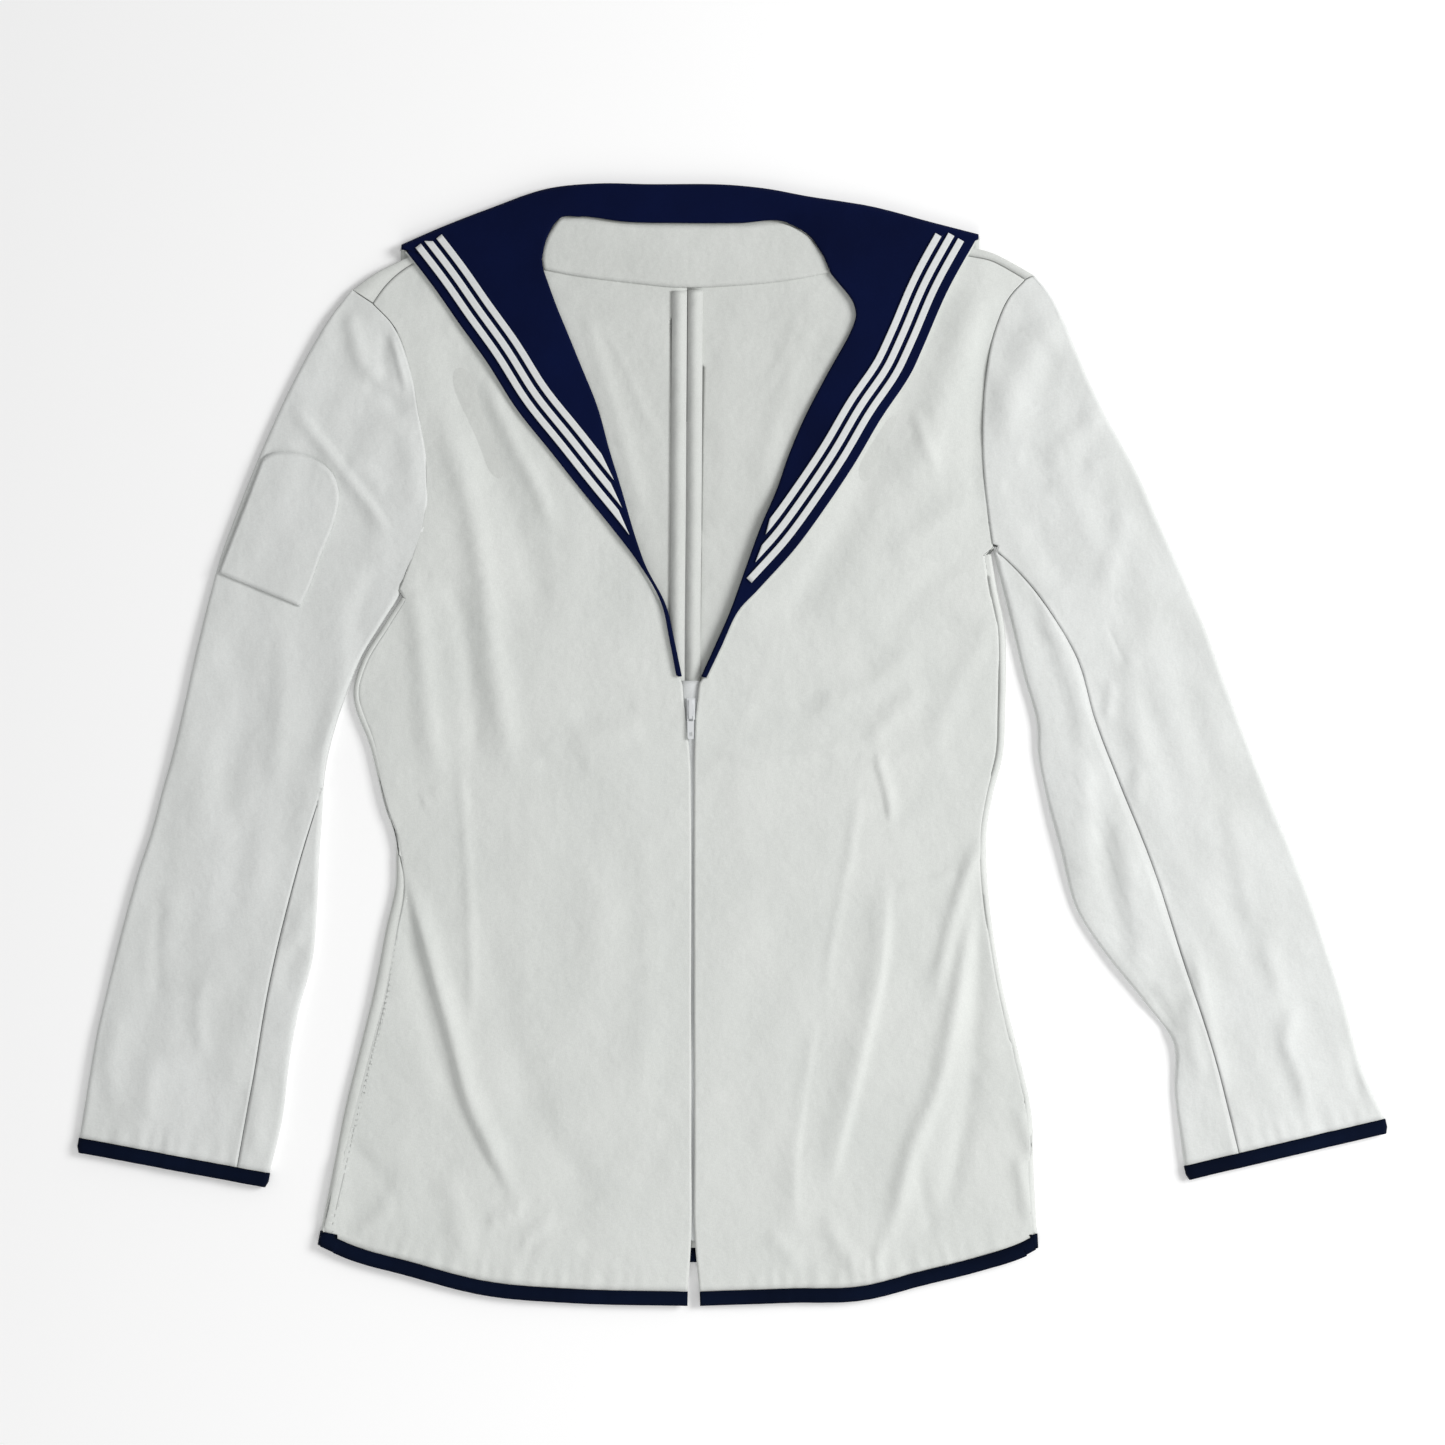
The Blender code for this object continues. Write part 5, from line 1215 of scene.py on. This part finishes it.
for side, half in (("left", LEFT), ("right", RIGHT)):
    sheet_piece(f"front_{side}_cloth", half.front(), CLOTH, BODY_CLOTH)
    sheet_piece(f"back_{side}_cloth", half.back(), CLOTH, INSIDE_CLOTH_PAINTED_SHADE, held="folded")
    sheet_piece(f"back_allowance_{side}_cloth", seam_allowance(half), CLOTH, INSIDE_CLOTH_PAINTED_SHADE)
for side, sleeve in (("left", Sleeve(-1, SECTIONS_LEFT, SEAM_LEFT, left_sleeve_height)),
                     ("right", Sleeve(1, SECTIONS_RIGHT, SEAM_RIGHT, right_sleeve_height))):
    sheet_piece(f"top_sleeve_{side}_cloth", sleeve.top(), CLOTH, SLEEVE_CLOTH_PAINTED_LIGHT, held="folded")
    sheet_piece(f"under_sleeve_{side}_cloth", sleeve.under(), CLOTH, SLEEVE_CLOTH_PAINTED_LIGHT, held="folded")
    sheet_piece(f"cuff_binding_{side}_cloth", sleeve.cuff(), BINDING, BINDING_CLOTH, held="folded")
sheet_piece("hem_binding_cloth", hem_binding(), BINDING, BINDING_CLOTH, held="folded")
sheet_piece("collar_cloth", collar(False), CLOTH, NAVY_CLOTH, held="folded")
sheet_piece("collar_lining_cloth", collar(True), CLOTH, INSIDE_CLOTH_PAINTED_SHADE, held="folded", lift=-LAYER_STEP)
for side, lapel, sense in (("left", LAPEL_LEFT, -1), ("right", LAPEL_RIGHT, 1)):
    for number in range(3):
        sheet_piece(f"collar_tape_{side}_{number + 1}_cloth", tape(lapel, sense, number), CLOTH, TAPE_CLOTH)
sheet_piece("neck_band_cloth", neck_band(), CLOTH, INSIDE_CLOTH_PAINTED_SHADE)
sheet_piece("zip_tape_cloth", zip_tape(), CLOTH, TAPE_CLOTH)
sheet_piece("badge_cloth", badge(), BADGE_CLOTH, SLEEVE_CLOTH_PAINTED_LIGHT)


# Floor, light and camera

def floor():
    mesh = bmesh.new()
    bmesh.ops.create_grid(mesh, x_segments=1, y_segments=1, size=3.0)
    plate = bpy.data.meshes.new("floor")
    mesh.to_mesh(plate)
    mesh.free()
    material, _, shader = shader_of("floor_paper", 0.9)
    shader.inputs["Base Color"].default_value = (0.95, 0.95, 0.95, 1)
    shader.inputs["Emission Color"].default_value = (1, 1, 1, 1)
    shader.inputs["Emission Strength"].default_value = 0.12
    plate.materials.append(material)
    made = bpy.data.objects.new("floor", plate)
    made.location.z = -0.0005
    bpy.context.scene.collection.objects.link(made)


def area_light(name, place, aim, size, power):
    light = bpy.data.lights.new(name, "AREA")
    light.size = size
    light.energy = power
    made = bpy.data.objects.new(name, light)
    made.location = place
    made.rotation_euler = (Vector(aim) - Vector(place)).to_track_quat("-Z", "Y").to_euler()
    bpy.context.scene.collection.objects.link(made)


floor()
area_light("key", (2.1, 0.6, 1.7), (0, 0, 0), 1.1, 55)
area_light("fill", (0.0, -1.6, 1.2), (0, 0, 0), 1.4, 9)
world = bpy.data.worlds.new("studio")
world.use_nodes = True
world.node_tree.nodes["Background"].inputs["Color"].default_value = (1, 1, 1, 1)
world.node_tree.nodes["Background"].inputs["Strength"].default_value = 0.4
bpy.context.scene.world = world
bpy.context.scene.view_settings.view_transform = "Standard"

CAMERA_HEIGHT = 2.0
FRAME_WIDTH = 1445 * PIXEL * MM
camera = bpy.data.cameras.new("camera")
camera.sensor_width = 36.0
camera.lens = 36.0 * CAMERA_HEIGHT / FRAME_WIDTH
eye = bpy.data.objects.new("camera", camera)
middle = at((722.5, 722.5))[0]
eye.location = Vector((middle[0] * MM, middle[1] * MM, CAMERA_HEIGHT)) + SHIFT
bpy.context.scene.collection.objects.link(eye)
bpy.context.scene.camera = eye
